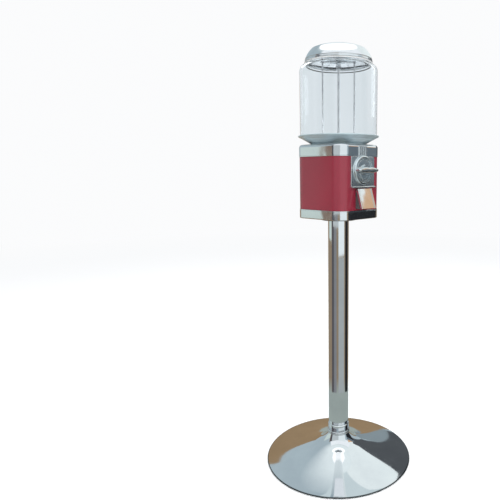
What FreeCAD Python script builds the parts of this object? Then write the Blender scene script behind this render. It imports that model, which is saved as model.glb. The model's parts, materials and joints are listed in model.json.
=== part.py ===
import FreeCAD, Part
import math
import os

import Sketcher

# Gumball machine on a trumpet-footed post. Millimetres, +Z up, the front faces -Y.
# The origin is on the floor, on the post's axis. Every z level below is measured from the floor,
# and everything in front of the cabinet is measured forward from the post's axis.

DIMENSIONS = {
    # stand
    "base_radius": 205, "base_clearance": 0.8, "rim_bead": 1.72, "neck_radius": 30.5,
    "flare_radius": 68, "flare_level": 40, "bell_curve": 71, "skirt_curve": 463, "skin": 2,
    "collar_level": 73, "collar_radius": 32, "coupling_level": 81, "coupling_radius": 29.5,
    "post_level": 103, "post_radius": 28, "post_wall": 2, "spigot_length": 22, "rod_hole": 6.6,
    "weight_radius": 150, "weight_level": 3, "weight_shoulder": 75, "weight_top": 29, "hub_radius": 26,
    "nut_recess": 16, "foot_inner": 136, "foot_outer": 147, "foot_height": 4,
    "tie_rod_radius": 6, "tie_rod_start": 4.5, "tie_rod_end": 707,
    "flange_radius": 46, "flange_height": 6, "flange_bolt_circle": 36, "flange_bolt_radius": 3,
    # cabinet
    "cabinet_level": 689, "wrap_level": 713, "wrap_top": 848, "cabinet_top": 879,
    "band_half": 82, "band_corner": 31, "crown_fillet": 8, "edge_round": 1.2,
    "wrap_half": 81, "wrap_corner": 30, "wrap_wall": 1.5, "lip_gap": 0.1, "lip_wall": 2.4,
    "lip_height": 6, "plate_wall": 4, "corner_bolt": 60, "corner_bolt_radius": 2.5,
    # hopper
    "hopper_hole": 64.5, "hopper_screw_circle": 67.6,
    "well_inner": 61.5, "well_wall": 3, "well_flange": 76, "well_flange_height": 4,
    "race_floor": 822.5, "race_inner": 50.8, "floor_level": 830, "floor_wall": 3,
    "bridge_thick": 3.8, "bridge_width": 13, "drop_radius": 15.2,
    "wheel_top": 858, "wheel_radius": 50, "gear_inner": 52, "gear_outer": 60, "gear_root": 827.2,
    "gear_web": 834, "gear_tip": 823.5, "pocket_radius": 14.6, "pocket_circle": 34,
    "wheel_bore": 7.05, "bush_radius": 7, "wheel_gap": 0.5,
    "dish_rim": 105.4, "dish_rim_level": 901.4, "dish_foot": 70.7, "dish_foot_height": 5, "seat_level": 898.8,
    # globe, rods and lid
    "globe_radius": 100, "globe_wall": 3, "globe_bottom": 900, "globe_shoulder": 16,
    "neck_level": 1077, "neck_top": 1080, "gasket_top": 1083,
    "centre_rod_radius": 3, "side_rod_radius": 2.3, "side_rod_offset": 41, "rod_gap": 0.15,
    "upper_bridge_level": 1087, "upper_bridge_thick": 3, "upper_bridge_half": 47,
    "upper_bridge_width": 17,
    "socket_radius": 6.5, "socket_bottom": 1066, "socket_top": 1096, "lock_bolt_radius": 4,
    "lid_radius": 86.5, "lid_flank_radius": 69.5, "lid_flank_level": 1115, "lid_crown_radius": 30,
    "lid_crown_level": 1126, "lid_skin": 1.6, "lock_top": 1131, "lock_radius": 12,
    # coin mechanism, measured from its own axis upward and from the post's axis forward
    "mech_level": 814, "plate_half": 46, "plate_foot": 44.5, "plate_head": 33.7, "plate_back": 81.6,
    "plate_front": 84, "plate_corner": 4, "sill_front": 88, "sill_height": 4.2,
    "dial_bore": 31, "ring_radius": 36.5, "ring_front": 89.5, "dial_radius": 30.4, "dial_front": 87,
    "dial_back": 83, "entry_half": 15, "entry_top": 59.5, "entry_front": 85, "entry_back": 76.6,
    "coin_width": 25.4, "coin_slot": 2.6, "coin_plane": 80.6, "notch_half": 36, "notch_foot": 35,
    "drum_radius": 33.4, "drum_wall": 2.8, "drum_back": 70.5, "drum_plate": 3, "tray_half": 35,
    "shaft_radius": 4, "bearing_gap": 0.05, "shaft_back": 45,
    "handle_half": 38, "handle_thick": 6.6, "handle_tip": 4, "handle_back": 91, "handle_front": 106,
    "carrier_radius": 30, "carrier_back": 77.6, "ratchet_front": 77.2, "ratchet_thick": 3,
    "ratchet_radius": 17, "ratchet_tooth": 2.5,
    "pinion_front": 60, "pinion_width": 8, "pinion_tip": 12.9, "pinion_root": 8.9,
    # chute
    "flap_hinge_level": 764.5, "flap_hinge_out": 88.5, "flap_lean": 16.6, "flap_half": 28,
    "flap_length": 49, "flap_skin": 1.6, "flap_rim": 1.8, "pin_radius": 1.5,
    "mouth_half": 25, "mouth_wall": 2.5, "chute_half": 22, "chute_wall": 1.5,
    # cash box
    "box_half": 54, "box_front": 64, "box_back": 70, "box_level": 694, "box_top": 720, "box_wall": 1.6,
    "dome_radius": 18, "dimple_radius": 8,
}

WHEEL_POCKETS = 5
GEAR_TEETH = 50
PINION_TEETH = 10
RATCHET_TEETH = 14
HEX_CORNER = 2 / math.sqrt(3)  # a hexagon's corner radius over its inner radius
DIAGONAL = math.sqrt(0.5)
MIN_CUT = 1e-3  # mm3, the least a cut has to take away to count as one

doc = FreeCAD.newDocument("gumball_machine")
sheet = doc.addObject("Spreadsheet::Sheet", "Sheet")
sheet.Label = "Sheet"
for line, (alias, number) in enumerate(DIMENSIONS.items(), start=1):
    sheet.set(f"A{line}", alias)
    sheet.set(f"B{line}", str(number))
    sheet.setAlias(f"B{line}", alias)
doc.recompute()


class Size:
    """A length with its value and the spreadsheet expression that gives it."""

    def __init__(self, text, value):
        self.text = text
        self.value = value

    def __add__(self, other):
        return Size(f"({self.text} + {text_of(other)})", self.value + value_of(other))

    def __radd__(self, other):
        return Size(f"({text_of(other)} + {self.text})", value_of(other) + self.value)

    def __sub__(self, other):
        return Size(f"({self.text} - {text_of(other)})", self.value - value_of(other))

    def __rsub__(self, other):
        return Size(f"({text_of(other)} - {self.text})", value_of(other) - self.value)

    def __mul__(self, factor):
        return Size(f"({self.text} * {text_of(factor)})", self.value * value_of(factor))

    __rmul__ = __mul__

    def __truediv__(self, factor):
        return Size(f"({self.text} / {text_of(factor)})", self.value / value_of(factor))

    def __neg__(self):
        return Size(f"(0 - {self.text})", -self.value)


def value_of(length):
    return length.value if isinstance(length, Size) else float(length)


def text_of(length):
    return length.text if isinstance(length, Size) else f"{float(length):.6f}"


class Sizes:
    """Every cell of the sheet by its alias, as a Size."""

    def __getattr__(self, alias):
        return Size(f"Sheet.{alias}", float(sheet.get(alias)))


d = Sizes()
parts = []


# ---------------------------------------------------------------- sketches and features


def new_body(label, level=None):
    """A sub-part. With a level, its own frame is lifted to that height above the floor."""
    made = doc.addObject("PartDesign::Body", label)
    made.Label = label
    if level is not None:
        made.setExpression(".Placement.Base.z", text_of(level))
    parts.append(made)
    return made


def origin_feature(body, role):
    return next(item for item in body.Origin.OriginFeatures if item.Role == role)


def new_sketch(body, role, start=0):
    """A sketch on one of the body's origin planes, moved along the plane's normal by start.
    The normals are +Z for XY_Plane, -Y for XZ_Plane and +X for YZ_Plane."""
    sketch = body.newObject("Sketcher::SketchObject", f"{body.Label}_sketch")
    sketch.AttachmentSupport = [(origin_feature(body, role), "")]
    sketch.MapMode = "FlatFace"
    sketch.setExpression(".AttachmentOffset.Base.z", text_of(start))
    return sketch


def pin_point(sketch, geometry, position, point):
    """Fixes one point of a sketch at (x, y), each bound to its expression."""
    for axis, length in zip((-2, -1), point[:2]):
        if not isinstance(length, Size) and abs(length) < 1e-12:
            sketch.addConstraint(Sketcher.Constraint("PointOnObject", geometry, position, axis))
            continue
        kind = "DistanceX" if axis == -2 else "DistanceY"
        at = sketch.addConstraint(Sketcher.Constraint(kind, -1, 1, geometry, position, value_of(length)))
        sketch.setExpression(f"Constraints[{at}]", text_of(length))


def set_radius(sketch, geometry, radius):
    at = sketch.addConstraint(Sketcher.Constraint("Radius", geometry, value_of(radius)))
    sketch.setExpression(f"Constraints[{at}]", text_of(radius))


def arc_between(start, end, radius):
    """The shorter arc from start to end. A positive radius turns left, a negative one right."""
    chord = end - start
    reach = abs(radius)
    rise = math.sqrt(max(reach * reach - chord.Length * chord.Length / 4, 0))
    side = FreeCAD.Vector(-chord.y, chord.x, 0).normalize() * math.copysign(rise, radius)
    centre = start + chord * 0.5 + side
    first, last = (start, end) if radius > 0 else (end, start)
    angles = [math.atan2(p.y - centre.y, p.x - centre.x) for p in (first, last)]
    return Part.ArcOfCircle(Part.Circle(centre, FreeCAD.Vector(0, 0, 1), reach), *angles)


def draw_outline(sketch, points):
    """A closed outline. A point is (x, y), or (x, y, radius) when an arc of that radius leads to it."""
    count = len(points)
    places = [FreeCAD.Vector(value_of(p[0]), value_of(p[1]), 0) for p in points]
    ends = []
    for index, point in enumerate(points):
        before, here = places[index - 1], places[index]
        if len(point) == 3:
            radius = value_of(point[2])
            geometry = sketch.addGeometry(arc_between(before, here, radius), False)
            ends.append((geometry, (1, 2) if radius > 0 else (2, 1)))
            set_radius(sketch, geometry, point[2] if radius > 0 else -point[2])
        else:
            geometry = sketch.addGeometry(Part.LineSegment(before, here), False)
            ends.append((geometry, (1, 2)))
    for index in range(count):
        geometry, (_, end) = ends[index]
        following, (begin, _) = ends[(index + 1) % count]
        sketch.addConstraint(Sketcher.Constraint("Coincident", geometry, end, following, begin))
        pin_point(sketch, geometry, end, points[index])


def draw_circle(sketch, x, y, radius):
    centre = FreeCAD.Vector(value_of(x), value_of(y), 0)
    circle = Part.Circle(centre, FreeCAD.Vector(0, 0, 1), value_of(radius))
    geometry = sketch.addGeometry(circle, False)
    pin_point(sketch, geometry, 3, (x, y))
    set_radius(sketch, geometry, radius)


def circle(x, y, radius):
    return ("circle", x, y, radius)


def outline(*points):
    return ("outline", list(points))


def rectangle(left, bottom, right, top):
    return outline((left, bottom), (right, bottom), (right, top), (left, top))


def rounded(left, bottom, right, top, corner):
    """A rectangle with four round corners."""
    return outline(
        (left + corner, bottom, corner), (right - corner, bottom), (right, bottom + corner, corner),
        (right, top - corner), (right - corner, top, corner), (left + corner, top),
        (left, top - corner, corner), (left, bottom + corner),
    )


def rounded_square(half, corner):
    return rounded(-half, -half, half, half, corner)


def hexagon(x, y, inner):
    """A hexagon with two flats across X, whose inner radius is half the size across its flats."""
    corner = inner * HEX_CORNER
    return outline(
        (x + inner, y - corner * 0.5), (x + inner, y + corner * 0.5), (x, y + corner),
        (x - inner, y + corner * 0.5), (x - inner, y - corner * 0.5), (x, y - corner),
    )


def draw(sketch, loops):
    for kind, *data in loops:
        if kind == "circle":
            draw_circle(sketch, *data)
        else:
            draw_outline(sketch, *data)
    return sketch


def pad(body, role, start, length, *loops):
    """Adds the loops' area from start over length, along the plane's normal."""
    feature = body.newObject("PartDesign::Pad", f"{body.Label}_pad")
    feature.Profile = draw(new_sketch(body, role, start), loops)
    feature.setExpression("Length", text_of(length))
    doc.recompute()
    return feature


def pocket(body, role, start, length, *loops):
    """Takes the loops' area away from start over length, along the plane's normal."""
    before = body.Shape.Volume
    feature = body.newObject("PartDesign::Pocket", f"{body.Label}_pocket")
    feature.Profile = draw(new_sketch(body, role, start), loops)
    feature.Reversed = True
    feature.setExpression("Length", text_of(length))
    doc.recompute()
    if before - body.Shape.Volume < MIN_CUT:
        raise RuntimeError(f"a pocket of {body.Label} cuts nothing")
    return feature


def turned(label, *points):
    """A body of revolution about Z from a closed outline of (radius, height) points."""
    body = new_body(label)
    feature = body.newObject("PartDesign::Revolution", f"{label}_turned")
    sketch = draw(new_sketch(body, "XZ_Plane"), [outline(*points)])
    feature.Profile = sketch
    feature.ReferenceAxis = (sketch, ["V_Axis"])
    feature.Angle = 360
    doc.recompute()
    return body


def repeat(body, feature, axis_role, count):
    """Repeats one feature round an origin axis of the body."""
    pattern = body.newObject("PartDesign::PolarPattern", f"{body.Label}_pattern")
    pattern.Originals = [feature]
    pattern.Axis = (origin_feature(body, axis_role), [""])
    pattern.Angle = 360
    pattern.Occurrences = count
    body.Tip = pattern
    doc.recompute()
    return pattern


def round_edges(body, radius, wanted):
    """Rounds every edge of the body that the test picks."""
    base = body.Tip
    names = [f"Edge{n}" for n, edge in enumerate(base.Shape.Edges, start=1) if wanted(edge)]
    if not names:
        raise RuntimeError(f"no edge of {body.Label} to round")
    feature = body.newObject("PartDesign::Fillet", f"{body.Label}_fillet")
    feature.Base = (base, names)
    feature.setExpression("Radius", text_of(radius))
    doc.recompute()
    return feature


def lies_at(axis, value, tolerance=1e-4):
    """A test for edges that lie in the plane where that coordinate has the value."""
    def test(edge):
        box = edge.BoundBox
        low, high = (getattr(box, f"{axis}{end}") for end in ("Min", "Max"))
        return abs(low - value_of(value)) < tolerance and abs(high - value_of(value)) < tolerance
    return test


def corners(distance):
    return [(x, y) for x in (-distance, distance) for y in (-distance, distance)]


def crosswise(distance):
    return [(distance, 0), (0, distance), (-distance, 0), (0, -distance)]


# ---------------------------------------------------------------- the stand


def base_shell():
    """Spun sheet trumpet: a bell under the collar, then a long skirt to a rolled rim."""
    rim = d.base_radius - d.rim_bead
    bead_top = d.base_clearance + 2 * d.rim_bead - 0.05
    turned(
        "base_shell",
        (d.rod_hole, d.collar_level - d.skin), (d.neck_radius - 2.2, d.collar_level - d.skin),
        (d.flare_radius - 0.8, d.flare_level - 1.85, d.bell_curve + d.skin),
        (rim - 2.6, bead_top - 1.7, d.skirt_curve + d.skin),
        (rim - 2.6, d.base_clearance), (rim, d.base_clearance),
        (rim, bead_top, d.rim_bead),
        (d.flare_radius, d.flare_level, -d.skirt_curve),
        (d.neck_radius, d.collar_level, -d.bell_curve),
        (d.rod_hole, d.collar_level),
    )


def base_weight():
    """Cast iron weight under the shell, with a hub that carries the collar and a foot-ring groove."""
    groove = d.foot_height - 1
    turned(
        "base_weight",
        (d.nut_recess, d.weight_level), (d.foot_inner - 0.2, d.weight_level),
        (d.foot_inner - 0.2, d.weight_level + 1), (d.foot_outer + 0.2, d.weight_level + 1),
        (d.foot_outer + 0.2, groove), (d.weight_radius, groove),
        (d.weight_radius, d.weight_level + 6.5), (d.weight_shoulder, d.weight_top),
        (d.hub_radius + 6, d.weight_top), (d.hub_radius, d.weight_top + 6, -6),
        (d.hub_radius, d.collar_level - d.skin), (d.rod_hole, d.collar_level - d.skin),
        (d.rod_hole, d.nut_recess), (d.nut_recess, d.nut_recess),
    )


def foot_ring():
    turned(
        "foot_ring",
        (d.foot_inner, 0), (d.foot_outer, 0), (d.foot_outer, d.foot_height), (d.foot_inner, d.foot_height),
    )


def base_collar():
    """Two rounded beads with a groove between them, on top of the trumpet."""
    waist = d.collar_radius - 1.6
    half = (d.coupling_level - d.collar_level) / 2
    turned(
        "base_collar",
        (d.rod_hole, d.collar_level), (waist, d.collar_level),
        (d.collar_radius, d.collar_level + 1.6, 1.65), (d.collar_radius, d.collar_level + half - 1.2),
        (waist, d.collar_level + half, 1.65),
        (d.collar_radius - 0.4, d.collar_level + half + 1.6, 1.7),
        (waist - 0.4, d.coupling_level, 2.4), (d.rod_hole, d.coupling_level),
    )


def post_coupling():
    """Plug that centres the post tube on the collar."""
    spigot = d.post_radius - d.post_wall - d.lip_gap
    turned(
        "post_coupling",
        (d.rod_hole, d.coupling_level), (d.coupling_radius, d.coupling_level),
        (d.coupling_radius, d.post_level - 1.2), (d.coupling_radius - 1.2, d.post_level, 1.2),
        (spigot, d.post_level), (spigot, d.post_level + d.spigot_length),
        (d.rod_hole, d.post_level + d.spigot_length),
    )


def post_tube():
    top = d.cabinet_level - d.flange_height
    turned(
        "post_tube",
        (d.post_radius - d.post_wall, d.post_level), (d.post_radius - 1.2, d.post_level),
        (d.post_radius, d.post_level + 1.2, 1.2), (d.post_radius, top),
        (d.post_radius - d.post_wall, top),
    )


def cabinet_flange():
    """Disc on top of the post that the cabinet's floor is bolted to."""
    under = d.cabinet_level - d.flange_height
    spigot = d.post_radius - d.post_wall - d.lip_gap
    body = turned(
        "cabinet_flange",
        (d.rod_hole, under - d.spigot_length), (spigot, under - d.spigot_length), (spigot, under),
        (d.flange_radius - 1.5, under), (d.flange_radius, under + 1.5, 1.5),
        (d.flange_radius, d.cabinet_level), (d.rod_hole, d.cabinet_level),
    )
    pocket(body, "XY_Plane", under - 1, d.flange_height + 2,
           *[circle(x, y, d.flange_bolt_radius + d.lip_gap) for x, y in crosswise(d.flange_bolt_circle)])


def flange_bolts():
    """Four bolts through the cabinet floor into the tapped flange."""
    places = crosswise(d.flange_bolt_circle)
    floor = d.cabinet_level + d.plate_wall
    under = d.cabinet_level - d.flange_height
    bolts = new_body("flange_bolts")
    pad(bolts, "XY_Plane", under, d.plate_wall + d.flange_height,
        *[circle(x, y, d.flange_bolt_radius) for x, y in places])
    pad(bolts, "XY_Plane", floor, 3.6, *[circle(x, y, d.flange_bolt_radius + 2.4) for x, y in places])


def tie_rod_set():
    """Long rod that clamps weight, shell, collar, coupling, post and cabinet together."""
    floor = d.cabinet_level + d.plate_wall
    rod = new_body("tie_rod")
    pad(rod, "XY_Plane", d.tie_rod_start, d.tie_rod_end - d.tie_rod_start, circle(0, 0, d.tie_rod_radius))
    bore = d.tie_rod_radius + d.lip_gap
    washers = new_body("tie_rod_washers")
    for level in (d.nut_recess - 2, floor):
        pad(washers, "XY_Plane", level, 2, circle(0, 0, bore + 7), circle(0, 0, bore))
    nuts = new_body("tie_rod_nuts")
    for level in (d.nut_recess - 11.5, floor + 2):
        pad(nuts, "XY_Plane", level, 9.5, hexagon(0, 0, bore + 3.4), circle(0, 0, bore))


# ---------------------------------------------------------------- the cabinet


def bottom_casting():
    body = new_body("bottom_casting")
    pad(body, "XY_Plane", d.cabinet_level, d.wrap_level - d.cabinet_level,
        rounded_square(d.band_half, d.band_corner))
    lip = d.wrap_half - d.wrap_wall - d.lip_gap
    lip_corner = d.wrap_corner - d.wrap_wall - d.lip_gap
    round_edges(body, d.edge_round, lies_at("Z", d.wrap_level))
    round_edges(body, d.edge_round * 2, lies_at("Z", d.cabinet_level))
    pad(body, "XY_Plane", d.wrap_level, d.lip_height, rounded_square(lip, lip_corner))
    floor = d.cabinet_level + d.plate_wall
    pocket(body, "XY_Plane", floor, d.wrap_level + d.lip_height - floor + 1,
           rounded_square(lip - d.lip_wall, lip_corner - d.lip_wall))
    pocket(body, "XY_Plane", d.cabinet_level - 1, d.plate_wall + 2, circle(0, 0, d.rod_hole),
           *[circle(x, y, d.flange_bolt_radius + 0.3) for x, y in crosswise(d.flange_bolt_circle)],
           *[circle(x, y, d.corner_bolt_radius + 0.2) for x, y in corners(d.corner_bolt)])
    pocket(body, "XZ_Plane", d.wrap_half - 6, 6,
           rectangle(-(d.mouth_half + 0.3), d.wrap_level, d.mouth_half + 0.3,
                     d.wrap_level + d.lip_height + 1))


def body_wrap():
    """Painted wrap: one sheet round the cabinet, open for the coin mechanism and the chute."""
    body = new_body("body_wrap")
    height = d.wrap_top - d.wrap_level
    pad(body, "XY_Plane", d.wrap_level, height, rounded_square(d.wrap_half, d.wrap_corner),
        rounded_square(d.wrap_half - d.wrap_wall, d.wrap_corner - d.wrap_wall))
    depth = d.wrap_wall + 2
    pocket(body, "XZ_Plane", d.wrap_half - d.wrap_wall - 1, depth,
           rectangle(-d.notch_half, d.mech_level - d.notch_foot, d.notch_half, d.wrap_top + 1))
    pocket(body, "XZ_Plane", d.wrap_half - d.wrap_wall - 1, depth,
           rectangle(-(d.mouth_half + 0.3), d.wrap_level + 4, d.mouth_half + 0.3, d.flap_hinge_level + 1))
    pocket(body, "XZ_Plane", d.wrap_half - d.wrap_wall - 1, depth,
           *[circle(x, d.mech_level + z, 2.7) for x, z in mount_places()])


def mount_places():
    """Where the coin mechanism is screwed to the wrap, as (x, height over its axis)."""
    reach = d.plate_half - 5
    return [(x, z) for x in (-reach, reach) for z in (-(d.plate_foot - 8), d.plate_head - 14)]


def top_casting():
    body = new_body("top_casting")
    pad(body, "XY_Plane", d.wrap_top, d.cabinet_top - d.wrap_top, rounded_square(d.band_half, d.band_corner))
    round_edges(body, d.crown_fillet, lies_at("Z", d.cabinet_top))
    round_edges(body, d.edge_round, lies_at("Z", d.wrap_top))
    lip = d.wrap_half - d.wrap_wall - d.lip_gap
    lip_corner = d.wrap_corner - d.wrap_wall - d.lip_gap
    pad(body, "XY_Plane", d.wrap_top - d.lip_height, d.lip_height, rounded_square(lip, lip_corner))
    under = d.cabinet_top - d.plate_wall
    pocket(body, "XY_Plane", d.wrap_top - d.lip_height - 1, under - d.wrap_top + d.lip_height + 1,
           rounded_square(lip - d.lip_wall, lip_corner - d.lip_wall))
    pocket(body, "XY_Plane", under - 1, d.plate_wall + 2, circle(0, 0, d.hopper_hole),
           *[circle(x, y, 2) for x, y in crosswise(d.hopper_screw_circle)])
    pocket(body, "XY_Plane", under - 1, 2.5,
           *[circle(x, y, d.corner_bolt_radius + 0.2) for x, y in corners(d.corner_bolt)])
    # room for the mechanism's drum and screws in the lip, and for its coin entry in the band
    pocket(body, "XZ_Plane", d.plate_back - 12, 13,
           rectangle(-d.plate_half, d.wrap_top - d.lip_height - 1, d.plate_half, d.wrap_top))
    pocket(body, "XZ_Plane", d.plate_back - 12, 13,
           rectangle(-(d.entry_half + 0.2), d.wrap_top - 1, d.entry_half + 0.2,
                     d.mech_level + d.entry_top + 0.2))


def corner_fasteners():
    """Four studs that clamp the two castings on the wrap, and their nuts."""
    places = corners(d.corner_bolt)
    floor = d.cabinet_level + d.plate_wall
    under = d.cabinet_top - d.plate_wall
    studs = new_body("corner_studs")
    pad(studs, "XY_Plane", d.cabinet_level + 0.5, under - d.cabinet_level + 0.5,
        *[circle(x, y, d.corner_bolt_radius) for x, y in places])
    nuts = new_body("corner_nuts")
    for level in (floor, under - 4):
        pad(nuts, "XY_Plane", level, 4,
            *[hexagon(x, y, d.corner_bolt_radius + 1.6) for x, y in places],
            *[circle(x, y, d.corner_bolt_radius + d.lip_gap) for x, y in places])


def cash_box():
    """Open tray on the cabinet floor, with a dome over the tie rod's nut."""
    body = new_body("cash_box")
    height = d.box_top - d.box_level
    corner = 14
    pad(body, "XY_Plane", d.box_level, height,
        rounded(-d.box_half, -d.box_front, d.box_half, d.box_back, corner))
    pocket(body, "XY_Plane", d.box_level + d.box_wall, height,
           rounded(-d.box_half + d.box_wall, -d.box_front + d.box_wall, d.box_half - d.box_wall,
                   d.box_back - d.box_wall, corner - 1.6))
    dome_height = d.tie_rod_end - d.box_level + 3
    pad(body, "XY_Plane", d.box_level, dome_height, circle(0, 0, d.dome_radius))
    pocket(body, "XY_Plane", d.box_level - 1, dome_height - d.box_wall + 1,
           circle(0, 0, d.dome_radius - d.box_wall))
    # dimples over the four flange bolts' heads
    places = crosswise(d.flange_bolt_circle)
    pad(body, "XY_Plane", d.box_level, 5, *[circle(x, y, d.dimple_radius) for x, y in places])
    inner = d.dimple_radius - d.box_wall
    pocket(body, "XY_Plane", d.box_level - 1, 4.6, *[circle(x, y, inner) for x, y in places])


# ---------------------------------------------------------------- the hopper and its wheel


def hopper_well():
    """Round well for the dispensing wheel, with a race for the wheel's gear and a drop hole."""
    flange_top = d.cabinet_top - d.plate_wall
    outer = d.well_inner + d.well_wall
    race_under = d.race_floor - d.floor_wall
    body = turned(
        "hopper_well",
        (d.centre_rod_radius + d.rod_gap, d.floor_level - d.floor_wall),
        (d.race_inner - d.floor_wall, d.floor_level - d.floor_wall),
        (d.race_inner - d.floor_wall, race_under), (outer, race_under),
        (outer, flange_top - d.well_flange_height), (d.well_flange, flange_top - d.well_flange_height),
        (d.well_flange, flange_top), (d.well_inner, flange_top), (d.well_inner, d.race_floor),
        (d.race_inner, d.race_floor), (d.race_inner, d.floor_level),
        (d.centre_rod_radius + d.rod_gap, d.floor_level),
    )
    pocket(body, "XY_Plane", d.floor_level - d.floor_wall - 1, d.floor_wall + 2,
           circle(0, d.pocket_circle, d.drop_radius))
    pocket(body, "XY_Plane", flange_top - d.well_flange_height - 1, d.well_flange_height + 2,
           *[circle(x, y, 2) for x, y in crosswise(d.hopper_screw_circle)])
    # window that lets the drive pinion reach the gear
    pocket(body, "XZ_Plane", d.race_inner, outer - d.race_inner + 1,
           rectangle(-15, race_under - 1, 15, d.gear_root + 1))
    pocket(body, "XZ_Plane", d.race_inner - d.floor_wall - 1, d.floor_wall + 2,
           rectangle(-9, race_under - 1, 9, race_under + 4))


def gear_tooth(half_pitch_width, tip, root):
    """Half widths of a 20 degree tooth at its tip and root, from that at its pitch line."""
    slope = math.tan(math.radians(20))
    return half_pitch_width - slope * tip, half_pitch_width + slope * root


def dispensing_wheel():
    """Pocketed wheel, with a step round its foot that the face gear is pressed on."""
    bottom = d.floor_level + d.wheel_gap
    body = turned(
        "dispensing_wheel",
        (d.wheel_bore, bottom), (d.wheel_radius, bottom), (d.gear_inner, d.gear_root + 3.4),
        (d.gear_inner, d.gear_web), (d.wheel_radius, d.gear_web + 2, -2),
        (d.wheel_radius, d.wheel_top - 2), (d.wheel_radius - 2, d.wheel_top, 2),
        (d.wheel_bore, d.wheel_top),
    )
    cut = pocket(body, "XY_Plane", bottom - 1, d.wheel_top - bottom + 2,
                 circle(0, d.pocket_circle, d.pocket_radius))
    repeat(body, cut, "Z_Axis", WHEEL_POCKETS)


def face_gear():
    """Ring gear round the wheel's foot, with its teeth underneath."""
    body = turned(
        "face_gear",
        (d.gear_inner, d.gear_root), (d.gear_outer, d.gear_root), (d.gear_outer, d.gear_web),
        (d.gear_inner, d.gear_web),
    )
    narrow, wide = gear_tooth(1.3, 1.7, 2.0)
    tooth = pad(body, "XZ_Plane", d.gear_inner, d.gear_outer - d.gear_inner,
                outline((-narrow, d.gear_tip), (narrow, d.gear_tip), (wide, d.gear_root + 0.1),
                        (-wide, d.gear_root + 0.1)))
    repeat(body, tooth, "Z_Axis", GEAR_TEETH)


def wheel_bearing():
    """Bush on the centre rod that the wheel turns on, and the nut and washer over it."""
    bush = new_body("wheel_bush")
    pad(bush, "XY_Plane", d.floor_level, d.wheel_top - d.floor_level + 0.6,
        circle(0, 0, d.bush_radius), circle(0, 0, d.centre_rod_radius + d.rod_gap))
    nut = new_body("wheel_cap_nut")
    pad(nut, "XY_Plane", d.wheel_top + 0.6, 1.2, circle(0, 0, d.bush_radius + 4),
        circle(0, 0, d.centre_rod_radius + d.rod_gap))
    pad(nut, "XY_Plane", d.wheel_top + 1.8, 5, hexagon(0, 0, d.centre_rod_radius + 2),
        circle(0, 0, d.centre_rod_radius + d.rod_gap))


def brush_guard():
    """Bracket over the drop hole, which keeps a second ball out, and the brush under its edges."""
    plate_level = d.wheel_top + 6
    half = d.pocket_radius + 4
    wall = d.well_inner - 1.5
    guard = new_body("brush_guard")
    pad(guard, "XY_Plane", plate_level, 1.5, rectangle(-half, 14, half, wall - 4))
    pad(guard, "XY_Plane", plate_level, 10, rectangle(-10, wall - 4.5, 10, wall - 3))
    pad(guard, "XZ_Plane", -(wall - 1), 3.2, circle(0, plate_level + 6.5, 3))
    brush = new_body("wheel_brush")
    for side in (-1, 1):
        pad(brush, "XY_Plane", d.wheel_top + 0.4, 5.6,
            rectangle(side * (half - 1.5) - 1.5, 18, side * (half - 1.5) + 1.5, wall - 8))


def hopper_screws():
    """Four screws that clamp the dish and the well on the cabinet's top."""
    places = crosswise(d.hopper_screw_circle)
    screws = new_body("hopper_screws")
    flange_under = d.cabinet_top - d.plate_wall - d.well_flange_height
    top = d.cabinet_top + d.dish_foot_height
    pad(screws, "XY_Plane", flange_under - 4, top - flange_under + 4,
        *[circle(x, y, 1.75) for x, y in places])
    pad(screws, "XY_Plane", top, 2, *[circle(x, y, 2.9) for x, y in places])


def hopper_dish():
    """Flared dish that funnels the gumballs and seats the globe inside its rim."""
    foot_top = d.cabinet_top + d.dish_foot_height
    rim = d.dish_rim_level
    body = turned(
        "hopper_dish",
        (60, d.cabinet_top), (d.dish_foot, d.cabinet_top), (d.dish_foot + 0.6, d.cabinet_top + 1.4),
        (88, d.cabinet_top + 11.2, -220), (d.dish_rim - 1.8, rim - 3.4, -220),
        (d.dish_rim, rim - 1.6, 2.6), (d.dish_rim, rim - 0.8), (d.dish_rim - 0.8, rim, 0.8),
        (d.globe_radius + 2.4, rim), (d.globe_radius + 1.4, rim - 1), (d.globe_radius + 1.4, d.seat_level),
        (d.globe_radius - 6.5, d.seat_level), (73.5, foot_top + 1.2), (d.dish_foot + 0.8, foot_top),
        (60, foot_top),
    )
    pocket(body, "XY_Plane", d.cabinet_top - 1, d.dish_foot_height + 2,
           *[circle(x, y, 2) for x, y in crosswise(d.hopper_screw_circle)])


# ---------------------------------------------------------------- globe, rods and lid


def along_diagonal(length_half, width_half):
    """Outline of a bar on the diagonal from the front right to the rear left, about the axis."""
    ends = []
    for along, across in ((1, -1), (1, 1), (-1, 1), (-1, -1)):
        x = (along * length_half + across * width_half) * DIAGONAL
        y = (across * width_half - along * length_half) * DIAGONAL
        ends.append((x, y))
    return outline(*ends)


def side_rod_places():
    reach = d.side_rod_offset * DIAGONAL
    return [(reach, -reach), (-reach, reach)]


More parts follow.
